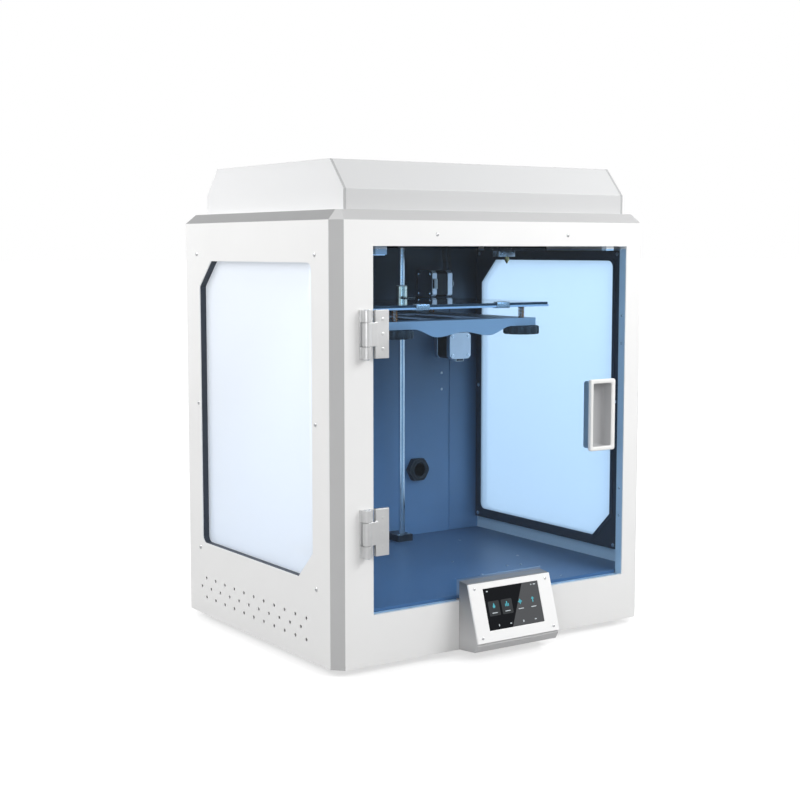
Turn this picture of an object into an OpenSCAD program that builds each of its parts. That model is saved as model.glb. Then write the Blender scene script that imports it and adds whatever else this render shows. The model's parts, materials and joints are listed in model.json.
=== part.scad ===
// Enclosed desktop 3D printer: sheet-metal case with side windows, glass door, sloped touchscreen
// and lift-off hood. The bed rides up and down on two rear rods, the gantry moves the head in X and Y.
// Lengths are in millimetres. The case front is the -Y side. The origin is on the standing surface,
// at the middle of the machine's outer box. Places in the modules are counted from the case's own
// corner plane: x from the middle, y from the front face, z from the underside of the case.

/* [Case] */
// Outer width of the case
body_w = 530; // [526:1:540]
// Outer depth of the case
body_d = 430; // [428:1:450]
// Height of the case up to the deck that carries the hood
body_h = 589; // [586:1:600]
// Size of the chamfer on the four upright corners
corner = 14; // [10:1:16]
// Height of the sloped edge round the deck
deck_slope = 13; // [10:1:14]
// Thickness of the sheet steel
skin = 1.5; // [1.2:0.1:2]
// Height of the rubber feet
foot_h = 8; // [5:1:15]
// Height of the chamber floor above the underside of the case
floor_z = 70; // [68:1:72]

/* [Door] */
// Left edge of the front opening, from the middle
open_left = -207.6; // [-210:0.1:-205]
// Right edge of the front opening, from the middle
open_right = 224.7; // [222:0.1:228]
// Bottom edge of the front opening
open_bottom = 67; // [66:0.5:68]
// Top edge of the front opening
open_top = 543; // [540:0.5:544]
// Thickness of the tinted door glass
glass_t = 4; // [3:0.5:5]
// Height of each hinge
hinge_h = 62; // [56:1:70]
// Underside of the lower hinge
hinge_low = 145; // [130:1:160]
// Underside of the upper hinge
hinge_high = 400.5; // [380:0.5:420]
// Height of the flush pull handle
pull_h = 102; // [90:1:120]
// Width of the flush pull handle
pull_w = 46; // [44:1:50]

/* [Side windows] */
// Front edge of the window
win_front = 57; // [56:1:60]
// Rear edge of the window
win_rear = 374; // [365:1:374]
// Bottom edge of the window
win_bottom = 108; // [104:1:115]
// Top edge of the window
win_top = 522; // [510:1:524]
// Leg of the two cut corners
win_cut = 37; // [20:1:50]
// Radius of the two round corners
win_r = 10; // [6:1:14]

/* [Vents] */
// Holes in one row of the side vents
vent_count = 11; // [5:1:12]
// Distance between the holes of a row
vent_pitch = 28.9; // [26:0.1:29]
// Diameter of a vent hole
vent_d = 5; // [4:0.5:6]

/* [Hood] */
// Width of the hood
hood_w = 474; // [472:1:480]
// Front wall of the hood
hood_front = 23; // [22:1:26]
// Rear wall of the hood
hood_rear = 401; // [398:1:402]
// Height of the hood above the deck
hood_h = 65.5; // [62:0.5:90]
// Height of the hood's upright walls
hood_wall = 27; // [20:1:30]
// Run of the hood's sloped panels
hood_slope = 33; // [30:1:36]

/* [Touchscreen] */
// Width of the touchscreen housing
touch_w = 140.6; // [138:0.2:142]
// Height of its top edge at the case
touch_top = 95; // [94:0.5:96]

/* [Bed lift] */
// Sideways place of the lift's centre line
lift_x = 4; // [0:0.5:6]
// Distance between the two lift rods
lift_rods = 168.8; // [164:0.2:172]
// Diameter of the lift rods
lift_rod_d = 10; // [10:1:10]
// Lead of the screw in one turn
screw_lead = 8; // [8:1:8]
// Width of the heated bed
bed_w = 310; // [300:1:312]
// Depth of the heated bed
bed_d = 243; // [230:1:244]
// Front edge of the bed
bed_front = 92; // [90:1:94]
// Underside of the bed in the pose shown
bed_z = 456.5; // [455:0.5:457]
// Diameter of the levelling knobs
knob_d = 52; // [40:1:54]

/* [Gantry] */
// Sideways place of the nozzle
nozzle_x = 134; // [120:1:140]
// Place of the nozzle behind the front face
nozzle_y = 160; // [150:1:170]
// Height of the nozzle tip
nozzle_z = 518; // [518:0.5:519]
// Height of the gantry rods
rail_z = 565; // [565:0.5:566]

/* [Spool holder] */
// Sideways place of the spool arm
spool_x = 136.7; // [120:0.1:145]
// Height of the spool arm
spool_z = 180; // [160:1:200]
// Length of the arm behind the case
spool_len = 84; // [70:1:100]
// Diameter of the arm
spool_d = 34; // [30:1:40]

/* [Hidden] */
$fn = 48;

// Room left between neighbouring bodies, and between a shaft and its bore
gap = 0.4;
run_fit = 0.05;

// Case
half_w = body_w / 2;
wall_top = body_h - deck_slope;
inner_x = half_w - skin;
back_y = 399;
bend = skin * tan(22.5);
jamb_d = 14;
tab_w = 136;
tab_top = 91;

// Touchscreen side outline, as [y, z]
touch_brow = [-20, 92.8];
touch_chin = [-44, 16.7];
touch_face_h = norm(touch_brow - touch_chin);
touch_tilt = atan2(touch_brow[0] - touch_chin[0], touch_brow[1] - touch_chin[1]);
touch_wall = 2.5;
bezel_t = 3;
screen_w = 94.5;
screen_top = 8.5;
screen_h = 56.5;

// Origin: middle of the outer box, on the standing surface
arm_tip = body_d + 4 + spool_len;
origin_y = (touch_chin[0] + arm_tip) / 2;

// Door
door_gap = 1.5;
door_top_gap = 3.5;
notch_w = 148;
notch_top = 97;
hinge_x = -222;
hinge_y = -7;
barrel_r = 6;
hinge_pin_r = 2.5;
pull_x = 179.25;
pull_z = 304.35;
pull_proud = 6;
pull_depth = 14;

// Side windows
gasket_t = 12;
gasket_w = 15;
pane_t = 3;
pane_lap = 5;
side_screw_y = [48.3, 381.5];
side_screw_z = [99, 314.4, 532];
vent_y = 74.4;
vent_z = [55.5, 41.1, 26.7];
screw_r = 1.6;
front_screw_x = [-107.4, 114.9];
front_screw_z = 558;

// Hood
hood_t = 3;
hood_end_t = 4;
hood_seat = body_h + 0.2;

// Stepper motors, all of one size
motor_w = 42.3;
motor_l = 40;
feed_motor_l = 44;
motor_cut = 4.5;
motor_cap = 9.5;
motor_shaft_r = 2.5;
y_motor = [157, 376, 484];
extruder = [193.6, 383];

// Bed lift
rod_y0 = 370;
rod_r = lift_rod_d / 2;
screw_r8 = 4;
carriage_y = [351, 356];
carriage_z = [414, 452];
bearing_r = 9.5;
bearing_z = [427, 482];
support_z = 438;
support_t = 2.5;
support_x = [-126, 132.5];
flange_mid = (support_x[0] + support_x[1]) / 2;
plate_t = 2.8;
glass_bed_t = 3.5;
bed_mid = lift_x - 0.5;
level_x = 110.5;
level_y = [101, 325];
knob_z = [417, 429.6];
clip_x = 70;
clip_w = 23;

// Gantry: the rail line is behind the nozzle
head_x = nozzle_x + 10;
rail_y = nozzle_y + 36;
rail_r = 4;
x_rod_half = 15;
y_rail_x = 243;
belt_x = 221;
belt_w = 6;
belt_t = 1.4;
pulley_r = 5.9;
flange_r = 7.5;
shaft_y = 388;
front_idler_y = 16;
x_motor_x = -206;
x_idler_x = 208;
drive_x = 185;

// Electronics bay and rear
fan_w = 60;
fan_x = -100;
fan_z = 36;
inlet_x = -205;
inlet_z = 36;
switch_x = -166;
feeder_win_x = [148, 240];
feeder_win_z = [338, 432];

// ---------------------------------------------------------------- shared shapes

module placed() translate([0, -origin_y, foot_h]) children();

module block(x, y, z) translate([x[0], y[0], z[0]]) cube([x[1] - x[0], y[1] - y[0], z[1] - z[0]]);

module round_x(x, y, z, r) translate([x[0], y, z]) rotate([0, 90, 0]) cylinder(r = r, h = x[1] - x[0]);

module round_y(x, y, z, r) translate([x, y[0], z]) rotate([-90, 0, 0]) cylinder(r = r, h = y[1] - y[0]);

module round_z(x, y, z, r) translate([x, y, z[0]]) cylinder(r = r, h = z[1] - z[0]);

// A flat outline drawn as [y, z], given thickness along X
module along_x(x) translate([x[0], 0, 0]) rotate([90, 0, 90]) linear_extrude(x[1] - x[0]) children();

// A flat outline drawn as [x, z], given thickness along Y
module along_y(y) translate([0, y[1], 0]) rotate([90, 0, 0]) linear_extrude(y[1] - y[0]) children();

module both_sides() { children(); mirror([1, 0, 0]) children(); }

// Points of an arc about a centre
function arc(c, r, a0, a1, n = 8) =
    [for (i = [0:n]) c + r * [cos(a0 + (a1 - a0) * i / n), sin(a0 + (a1 - a0) * i / n)]];

// A belt loop round two equal pulleys, as a flat ring in its own plane
module belt_ring(a, b, r) {
    d = b - a;
    difference() {
        stadium(a, d, r + belt_t);
        stadium(a, d, r);
    }
}

module stadium(a, d, r) {
    translate(a) rotate(atan2(d[1], d[0])) {
        circle(r);
        translate([0, -r]) square([norm(d), 2 * r]);
        translate([norm(d), 0]) circle(r);
    }
}

// Toothed pulley with two flanges, standing on z = 0, about the Z axis
module pulley(len, bore) {
    difference() {
        union() {
            cylinder(r = pulley_r, h = len);
            cylinder(r = flange_r, h = 1);
            translate([0, 0, len - 1]) cylinder(r = flange_r, h = 1);
        }
        translate([0, 0, -1]) cylinder(r = bore, h = len + 2);
    }
}

// Stepper motor of length len: shaft up along +Z, mounting face at z = 0
module stepper(len, shaft_len) {
    w = motor_w;
    c = motor_cut;
    color("silver") {
        translate([0, 0, -motor_cap]) linear_extrude(motor_cap) cut_square(w, c);
        translate([0, 0, -len]) linear_extrude(motor_cap) cut_square(w, c);
        cylinder(r = 11, h = 2);
        cylinder(r = motor_shaft_r, h = shaft_len);
    }
    color("dimgray") translate([0, 0, motor_cap - len])
        linear_extrude(len - 2 * motor_cap) cut_square(w - 1, c);
}

// Square with its four corners cut
module cut_square(w, c) {
    h = w / 2;
    polygon([[h, h - c], [h - c, h], [c - h, h], [-h, h - c], [-h, c - h], [c - h, -h],
        [h - c, -h], [h, c - h]]);
}

// ---------------------------------------------------------------- case

// Sheet bent round two upright corners: front band, from z0 to z1
module corner_band(z0, z1) {
    x0 = half_w;
    x1 = half_w - corner;
    in = skin * sqrt(2);
    translate([0, 0, z0]) linear_extrude(z1 - z0)
        polygon([[-x0, corner], [-x1, 0], [x1, 0], [x0, corner], [x0 - in, corner],
            [x1 - bend, skin], [bend - x1, skin], [in - x0, corner]]);
}

module front_panel() {
    color("white") {
        difference() {
            corner_band(0, wall_top);
            along_y([-1, skin + 1]) front_opening();
            for (x = front_screw_x) round_y(x, [-1, skin + 1], front_screw_z, screw_r);
        }
        // Folded jamb round the opening
        jamb = [skin, jamb_d];
        block([open_left - skin, open_left], jamb, [open_bottom - skin, open_top + skin]);
        block([open_right, open_right + skin], jamb, [open_bottom - skin, open_top + skin]);
        block([open_left, open_right], jamb, [open_top, open_top + skin]);
        block([open_left, -tab_w / 2], jamb, [open_bottom - skin, open_bottom]);
        block([tab_w / 2, open_right], jamb, [open_bottom - skin, open_bottom]);
        // Stop that the closed door rests on
        block([190, 204], [glass_t + gap, jamb_d], [open_top - 6, open_top]);
    }
}

// Opening of the front, with the tab that backs the touchscreen
module front_opening() {
    t = tab_w / 2;
    polygon([[open_left, open_bottom], [-t, open_bottom], [-t, tab_top], [t, tab_top],
        [t, open_bottom], [open_right, open_bottom], [open_right, open_top], [open_left, open_top]]);
}

// Window outline as [y, z]: cut corners at bottom front and top rear, round ones at the others
module window_outline(grow) {
    y0 = win_front - grow;
    y1 = win_rear + grow;
    z0 = win_bottom - grow;
    z1 = win_top + grow;
    c = win_cut + grow * (2 - sqrt(2));
    r = win_r + grow;
    polygon(concat(
        [[y0 + c, z0]],
        arc([y1 - r, z0 + r], r, -90, 0),
        [[y1, z1 - c], [y1 - c, z1]],
        arc([y0 + r, z1 - r], r, 90, 180),
        [[y0, z0 + c]]));
}

module side_screws_at() for (y = side_screw_y, z = side_screw_z) translate([y, z]) children();

module side_panel() {
    color("white") along_x([half_w - skin, half_w]) difference() {
        translate([corner, 0]) square([body_d - 2 * corner, wall_top]);
        window_outline(0);
        side_screws_at() circle(screw_r);
        for (row = [0:2], i = [0:vent_count - 1])
            translate([vent_y + (i + (row == 1 ? 0.5 : 0)) * vent_pitch, vent_z[row]]) circle(vent_d / 2);
    }
}

module left_panel() mirror([1, 0, 0]) side_panel();

module right_panel() side_panel();

module window_gaskets() {
    x1 = half_w - skin;
    x0 = x1 - gasket_t;
    color("#1c2430") both_sides() difference() {
        block([x0, x1], [win_front - gasket_w, win_rear + gasket_w],
            [win_bottom - gasket_w, win_top + gasket_w]);
        along_x([x0 - 1, x1 + 1]) window_outline(0);
        along_x([x0 - 1, x0 + pane_t]) window_outline(pane_lap);
        along_x([x0 - 1, x1 + 1]) side_screws_at() circle(screw_r);
    }
}

module window_panes() {
    x0 = half_w - skin - gasket_t;
    color("aliceblue", 0.6) both_sides()
        along_x([x0, x0 + pane_t]) window_outline(pane_lap - 0.2);
}

// Button-head screws: windows, front edge and touchscreen bezel
module panel_screws() {
    head_r = 3;
    head_h = 1.2;
    color("gainsboro") {
        both_sides() for (y = side_screw_y, z = side_screw_z) {
            round_x([half_w - skin - gasket_t - 1, half_w], y, z, screw_r);
            round_x([half_w, half_w + head_h], y, z, head_r);
            round_x([half_w - skin - gasket_t - 1.6, half_w - skin - gasket_t], y, z, head_r);
        }
        for (x = front_screw_x) {
            round_y(x, [0, 6], front_screw_z, screw_r);
            round_y(x, [-head_h, 0], front_screw_z, head_r - 0.4);
        }
        on_touch_face() for (x = [-61, 61], z = [-7, -73])
            round_y(x, [-0.8, 0], z, 2.2);
    }
}

module back_wall() {
    color("#8fa3b8") difference() {
        block([-inner_x, inner_x], [back_y, back_y + skin], [floor_z + skin, wall_top - 2]);
        round_y(spool_x, [back_y - 1, back_y + skin + 1], spool_z, 14);
        round_y(extruder[0], [back_y - 1, back_y + skin + 1], extruder[1], 12);
        for (z = [309.2, 336.2]) round_y(187.9, [back_y - 1, back_y + skin + 1], z, 1.5);
    }
}

module rear_cover() {
    slots = [for (i = [0:8]) -40 + i * 14];
    color("white") difference() {
        translate([0, body_d, 0]) mirror([0, 1, 0]) corner_band(0, wall_top);
        block(feeder_win_x, [body_d - 3, body_d + 1], feeder_win_z);
        round_y(spool_x, [body_d - 3, body_d + 1], spool_z, 14);
        block([inlet_x - 14, inlet_x + 14], [body_d - 3, body_d + 1], [inlet_z - 11, inlet_z + 11]);
        block([switch_x - 7, switch_x + 7], [body_d - 3, body_d + 1], [inlet_z - 10.5, inlet_z + 10.5]);
        // Fan grille: rings of slots, and a row of tall slots beside it
        for (i = [-4:4]) block([fan_x + i * 6 - 1.5, fan_x + i * 6 + 1.5], [body_d - 3, body_d + 1],
            [fan_z - sqrt(676 - i * i * 36), fan_z + sqrt(676 - i * i * 36)]);
        for (x = slots) block([x, x + 4], [body_d - 3, body_d + 1], [18, 54]);
    }
}

// Eight points of the deck at height z, drawn in by e from the case outline
function deck_ring(e, z) =
    let (w = half_w - e, d0 = e, d1 = body_d - e, c = corner - e * (2 - sqrt(2)))
    [[w, d0 + c, z], [w, d1 - c, z], [w - c, d1, z], [c - w, d1, z],
     [-w, d1 - c, z], [-w, d0 + c, z], [c - w, d0, z], [w - c, d0, z]];

// Solid between two such rings
module deck_solid(e0, z0, e1, z1) {
    polyhedron(concat(deck_ring(e0, z0), deck_ring(e1, z1)), concat(
        [[0, 1, 2, 3, 4, 5, 6, 7]],
        [for (i = [0:7]) [i, i + 8, (i + 1) % 8 + 8, (i + 1) % 8]],
        [[15, 14, 13, 12, 11, 10, 9, 8]]));
}

module top_frame() {
    rim_x = hood_w / 2 - 8;
    rim = [hood_front + 8, hood_rear - 8];
    color("gainsboro") {
        difference() {
            deck_solid(0, wall_top, corner, body_h);
            deck_solid(skin * 1.2, wall_top - 0.01, corner + skin * 0.6, body_h - skin);
            block([-rim_x, rim_x], rim, [wall_top - 1, body_h + 1]);
        }
        // Folded lip round the hole under the hood
        difference() {
            block([-rim_x - skin, rim_x + skin], [rim[0] - skin, rim[1] + skin],
                [wall_top + 3, body_h - skin]);
            block([-rim_x, rim_x], rim, [wall_top, body_h + 1]);
        }
    }
}

module base_tray() {
    x = inner_x - 1;
    y = [skin + 0.5, body_d - skin - 0.5];
    c = corner + 1;
    color("#d0d4d8") difference() {
        linear_extrude(18) polygon([[-x, c], [c - x, y[0]], [x - c, y[0]], [x, c], [x, y[1] - c],
            [x - c, y[1]], [c - x, y[1]], [-x, y[1] - c]]);
        block([skin - x, x - skin], [y[0] + c, y[1] - c], [2, 19]);
        block([c - x, x - c], [y[0] + skin, y[1] - skin], [2, 19]);
        for (i = [0:9]) block([60 + i * 12, 65 + i * 12], [200, 340], [-1, 3]);
        // Gap in the rear edge for the bay fan
        block([fan_x - fan_w / 2 - 1, fan_x + fan_w / 2 + 1], [y[1] - 3, y[1] + 1], [4, 19]);
    }
}

module feet() {
    color("#2a2a2a") for (x = [-225, 225], y = [40, 390]) translate([x, y, -foot_h]) {
        difference() {
            union() {
                cylinder(r = 17, h = foot_h);
                cylinder(r = 18.5, h = 2);
            }
            translate([0, 0, -1]) cylinder(r = 6, h = 4);
        }
    }
}

module chamber_floor() {
    x = inner_x - 0.2;
    color("#8fa3b8") difference() {
        block([-x, x], [jamb_d + 0.2, back_y + skin], [floor_z, floor_z + skin]);
        round_z(lift_x, rod_y0, [floor_z - 1, floor_z + 3], 12);
    }
}

// ---------------------------------------------------------------- electronics bay

module power_supply() {
    color("silver") difference() {
        block([-235, -25], [225, 340], [2, 34]);
        block([-233.5, -45], [226.5, 338.5], [3.5, 32.5]);
        for (i = [0:14], j = [0:6])
            round_z(-220 + i * 11, 245 + j * 12, [30, 36], 3);
    }
    color("dimgray") block([-210, -60], [240, 325], [3.5, 22]);
}

module mainboard() {
    color("#1d5a3c") block([70, 190], [60, 160], [8, 9.6]);
    color("silver") for (x = [75, 185], y = [65, 155]) round_z(x, y, [2, 8], 3);
    color("black") for (i = [0:4]) block([82 + i * 19, 94 + i * 19], [120, 134], [9.6, 22]);
    color("ivory") for (i = [0:6]) block([78 + i * 15, 88 + i * 15], [66, 74], [9.6, 19]);
}

module bay_fan_frame() {
    y = [body_d - skin - 15, body_d - skin];
    h = fan_w / 2;
    color("#222") difference() {
        block([fan_x - h, fan_x + h], y, [fan_z - h, fan_z + h]);
        round_y(fan_x, [y[0] - 1, y[1] + 1], fan_z, h - 2);
    }
    color("#222") {
        block([fan_x - h + 1, fan_x + h - 1], [y[0], y[0] + 2], [fan_z - 1.5, fan_z + 1.5]);
        round_y(fan_x, [y[0], y[0] + 2], fan_z, 13);
        round_y(fan_x, [y[0], y[0] + 4], fan_z, 2);
    }
}

// Hub and seven pitched blades about the Y axis, centred on the origin
module rotor(r, hub_r, depth, bore) {
    rotate([-90, 0, 0]) difference() {
        union() {
            cylinder(r = hub_r, h = depth);
            for (a = [0:360 / 7:359]) rotate([0, 0, a]) translate([hub_r - 1, 0, depth / 2])
                rotate([35, 0, 0]) translate([0, -depth * 0.5, -0.6]) cube([r - hub_r, depth, 1.2]);
        }
        translate([0, 0, -1]) cylinder(r = bore, h = depth - 1);
    }
}

module bay_fan_rotor() {
    color("#333") translate([fan_x, body_d - skin - 12.5, fan_z]) rotor(26, 12, 9, 2 + run_fit);
}

module power_inlet() {
    y = [body_d - 22, body_d];
    color("#1a1a1a") difference() {
        union() {
            block([inlet_x - 14, inlet_x + 14], y, [inlet_z - 11, inlet_z + 11]);
            block([inlet_x - 25, inlet_x + 25], [y[1], y[1] + 2.5], [inlet_z - 14, inlet_z + 14]);
        }
        block([inlet_x - 12, inlet_x + 12], [y[0] + 4, y[1] + 3], [inlet_z - 8.5, inlet_z + 8.5]);
    }
    color("silver") for (p = [[-7, 2], [0, -4], [7, 2]])
        block([inlet_x + p[0] - 1, inlet_x + p[0] + 1], [y[0] + 4, y[1] - 6],
            [inlet_z + p[1] - 2, inlet_z + p[1] + 2]);
    // Open frame of the rocker switch with its two pivot studs
    color("#1a1a1a") {
        difference() {
            union() {
                block([switch_x - 7, switch_x + 7], y, [inlet_z - 10.5, inlet_z + 10.5]);
                block([switch_x - 9, switch_x + 9], [y[1], y[1] + 2], [inlet_z - 13, inlet_z + 13]);
            }
            block([switch_x - 5.5, switch_x + 5.5], [y[0] + 2, y[1] + 3], [inlet_z - 9, inlet_z + 9]);
        }
        round_x([switch_x - 6, switch_x - 3.5], y[1] - 4, inlet_z, 1.5);
        round_x([switch_x + 3.5, switch_x + 6], y[1] - 4, inlet_z, 1.5);
    }
}

// Rocker with one end pressed in, about its pivot along X
module rocker_switch() {
    yp = body_d - 4;
    w = 5;
    color("#c02020") difference() {
        translate([switch_x, yp, inlet_z]) rotate([8, 0, 0]) difference() {
            along_x([-w, w]) polygon(concat([[-4, -3], [4, -7.8], [5.5, -7.8]],
                [[4.6, 0]], [[5.5, 7.8], [4, 7.8], [-4, 3]]));
        }
        round_x([switch_x - w - 1, switch_x - 3.5 + 0.3], yp, inlet_z, 1.5 + run_fit);
        round_x([switch_x + 3.5 - 0.3, switch_x + w + 1], yp, inlet_z, 1.5 + run_fit);
    }
}

// ---------------------------------------------------------------- spool holder and feeder

module spool_arm() {
    r = spool_d / 2;
    y_collar = [body_d, body_d + 4];
    color("#202224") difference() {
        union() {
            round_y(spool_x, [back_y - 11, body_d], spool_z, 14);
            round_y(spool_x, y_collar, spool_z, 28);
            round_y(spool_x, [body_d + 4, arm_tip], spool_z, r);
        }
        round_y(spool_x, [back_y - 12, arm_tip + 1], spool_z, 11);
    }
}

module spool_nut() {
    color("#15171a") translate([spool_x, back_y, spool_z]) rotate([90, 0, 0]) difference() {
        rotate([0, 0, 30]) cylinder(r = 20.5, h = 10, $fn = 6);
        translate([0, 0, -1]) cylinder(r = 14, h = 12);
    }
}

lever_pivot = [extruder[0] + 24, extruder[1] - 21];
roller = [extruder[0] + 12.9, extruder[1]];

module feeder_plate() {
    y0 = back_y + skin;
    color("#3a3d42") {
        difference() {
            block([extruder[0] - 26, extruder[0] + 34], [y0, y0 + 5], [extruder[1] - 28, extruder[1] + 28]);
            round_y(extruder[0], [y0 - 1, y0 + 6], extruder[1], 11.5);
        }
        // Filament guide block with its bore, and the lever's pivot post
        difference() {
            block([extruder[0] + 1, extruder[0] + 13], [y0 + 5, y0 + 19], [extruder[1] + 14, extruder[1] + 28]);
            round_z(extruder[0] + 6.4, y0 + 12, [extruder[1] + 10, extruder[1] + 30], 1.1);
        }
        round_y(lever_pivot[0], [y0 + 5, y0 + 20], lever_pivot[1], 3);
    }
}

// Toothed wheel on the extruder motor's shaft
module drive_gear() {
    y0 = back_y + skin;
    color("#b08d4a") difference() {
        union() {
            round_y(extruder[0], [y0 + 6, y0 + 18], extruder[1], 6);
            round_y(extruder[0], [y0 + 6, y0 + 9], extruder[1], 7.5);
        }
        round_y(extruder[0], [y0 + 5, y0 + 19], extruder[1], motor_shaft_r + run_fit);
    }
}

// Sprung lever that presses the filament on the wheel
module idler_lever() {
    y0 = back_y + skin;
    color("#d04a28") difference() {
        union() {
            along_y([y0 + 5 + gap, y0 + 16]) union() {
                translate(lever_pivot) circle(6);
                translate(lever_pivot) rotate(atan2(48, -6)) translate([0, -4]) square([50, 8]);
            }
            round_y(roller[0], [y0 + 9.5, y0 + 16], roller[1], 6);
        }
        round_y(lever_pivot[0], [y0 + 4, y0 + 17], lever_pivot[1], 3 + run_fit);
    }
}

// ---------------------------------------------------------------- touchscreen

// Places children on the sloped face: x sideways, z up the face from its top edge, y inwards
module on_touch_face() translate([0, touch_brow[0], touch_brow[1]]) rotate([-touch_tilt, 0, 0]) children();

module touch_housing() {
    w = touch_w / 2;
    t = touch_wall;
    outline = [[0, touch_top], touch_brow, touch_chin, [-36.5, 3.4], [0, 0.2]];
    color("whitesmoke") difference() {
        along_x([-w, w]) polygon(outline);
        along_x([t - w, w - t]) polygon([[1, touch_top - t], [-18.5, 90.3], [-41.6, 17], [-35.4, 6], [1, 2.8]]);
        on_touch_face() block([-w - 1, w + 1], [-5, bezel_t], [-touch_face_h - 12, 8]);
    }
}

module touch_bezel() {
    w = touch_w / 2;
    color("white") on_touch_face() difference() {
        block([-w, w], [0, bezel_t], [-touch_face_h, 0]);
        block([-screen_w / 2, screen_w / 2], [-1, bezel_t + 1], [-screen_top - screen_h, -screen_top]);
    }
}

module touch_screen() {
    color("#111") on_touch_face()
        block([-screen_w / 2, screen_w / 2], [0.5, bezel_t + 1.5], [-screen_top - screen_h, -screen_top]);
}

// ---------------------------------------------------------------- door

// Height ranges of a hinge's frame knuckles, and of the door knuckle between them
function hinge_ends(z) = [[z, z + hinge_h / 4], [z + hinge_h * 3 / 4, z + hinge_h]];

module hinge_frame_leaves() {
    color("silver") for (z = [hinge_low, hinge_high]) {
        difference() {
            union() {
                block([hinge_x - 7, open_left - 1.6], [-2, 0], [z, z + hinge_h]);
                for (e = hinge_ends(z)) {
                    round_z(hinge_x, hinge_y, e, barrel_r);
                    block([hinge_x - 6, hinge_x + 6], [hinge_y, -1], e);
                }
            }
            round_z(hinge_x, hinge_y, [z - 1, z + hinge_h + 1], hinge_pin_r);
            // Room for the door's knuckle
            round_z(hinge_x, hinge_y, [z + hinge_h / 4, z + hinge_h * 3 / 4], barrel_r + gap);
        }
    }
}

module hinge_pins() {
    color("gray") for (z = [hinge_low, hinge_high]) {
        round_z(hinge_x, hinge_y, [z, z + hinge_h], hinge_pin_r);
        round_z(hinge_x, hinge_y, [z + hinge_h, z + hinge_h + 1.2], 4);
        round_z(hinge_x, hinge_y, [z - 1.2, z], 4);
    }
}

module hinge_door_leaves() {
    color("silver") for (z = [hinge_low, hinge_high]) {
        mid = [z + hinge_h / 4 + gap, z + hinge_h * 3 / 4 - gap];
        difference() {
            union() {
                round_z(hinge_x, hinge_y, mid, barrel_r);
                block([hinge_x, open_left + 2], [hinge_y - 1.5, -3.2], mid);
                block([open_left + 0.4, open_left + 21], [-5.2, 0], [z, z + hinge_h]);
            }
            round_z(hinge_x, hinge_y, [z, z + hinge_h], hinge_pin_r + run_fit);
        }
    }
}

module door_glass() {
    n = notch_w / 2;
    x0 = open_left + door_gap;
    x1 = open_right - door_gap;
    z0 = open_bottom + door_gap;
    z1 = open_top - door_top_gap;
    color("#7fb8e8", 0.5) along_y([0, glass_t]) difference() {
        polygon([[x0, z0], [-n, z0], [-n, notch_top], [n, notch_top], [n, z0], [x1, z0], [x1, z1], [x0, z1]]);
        translate([pull_x - pull_w / 2 + 3, pull_z - pull_h / 2 + 3]) square([pull_w - 6, pull_h - 6]);
    }
}

// Flush pull: rim in front of the glass, cup behind it
module door_handle() {
    w = pull_w / 2;
    h = pull_h / 2;
    color("white") translate([pull_x, 0, pull_z]) difference() {
        union() {
            block([-w, w], [-pull_proud, 0], [-h, h]);
            block([3 - w, w - 3], [0, pull_depth], [3 - h, h - 3]);
        }
        block([5 - w, w - 7], [-pull_proud - 1, pull_depth - 2], [6 - h, h - 6]);
    }
}

// ---------------------------------------------------------------- bed lift

module guide_rods() {
    color("lightsteelblue") {
        for (s = [-1, 1])
            round_z(lift_x + s * lift_rods / 2, rod_y0, [floor_z + skin, 546], rod_r);
        both_sides() round_y(y_rail_x, [20, 382], rail_z, rail_r);
    }
}

// Clamps for the lift rods, corner brackets for the gantry rails, and belt idlers
module rod_brackets() {
    color("#2b3038") {
        for (s = [-1, 1]) {
            x = lift_x + s * lift_rods / 2;
            difference() {
                union() {
                    block([x - 14, x + 14], [rod_y0 - 11, back_y], [floor_z + skin, floor_z + 12]);
                    block([x - 14, x + 14], [rod_y0 - 9, back_y], [541, 549]);
                }
                round_z(x, rod_y0, [floor_z, 546], rod_r);
            }
        }
        both_sides() {
            difference() {
                block([236, inner_x - 0.2], [379, back_y], [rail_z - 12, rail_z + 10]);
                round_y(y_rail_x, [370, 382], rail_z, rail_r);
                round_x([230, 241], shaft_y, rail_z, rail_r + run_fit);
            }
            difference() {
                block([231, 250], [skin, 30], [rail_z - 12, rail_z + 10]);
                round_y(y_rail_x, [20, 40], rail_z, rail_r);
            }
            round_x([belt_x - 5, 231], front_idler_y, rail_z, 2.5);
            round_x([belt_x - 3.6, belt_x + 3.6], front_idler_y, rail_z, pulley_r);
        }
        // Angle plate that carries the Y motor's shaft side
        block([y_motor[0] + motor_l / 2, y_motor[0] + motor_l / 2 + 2], [357, back_y],
            [y_motor[2] - 21, y_motor[2] - 12]);
    }
    // Shelf under the Y motor
    color("#2b3038") block([y_motor[0] - motor_l / 2, y_motor[0] + motor_l / 2 + 2], [357, back_y],
        [y_motor[2] - 23.5, y_motor[2] - motor_w / 2]);
}

// The lift motor under the floor, and the extruder and Y motors on the back wall
module frame_motors() {
    translate([lift_x, rod_y0, floor_z]) stepper(motor_l, 12);
    translate([extruder[0], back_y, extruder[1]]) rotate([-90, 0, 0]) stepper(feed_motor_l, 20);
    translate([y_motor[0] + motor_l / 2, y_motor[1], y_motor[2]]) rotate([0, 90, 0]) stepper(motor_l, 16);
}

module lead_screw() {
    color("silver") difference() {
        union() {
            round_z(lift_x, rod_y0, [95, 545], screw_r8);
            round_z(lift_x, rod_y0, [74, 99], 9.5);
        }
        round_z(lift_x, rod_y0, [73, 84], motor_shaft_r + run_fit);
    }
}

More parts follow.
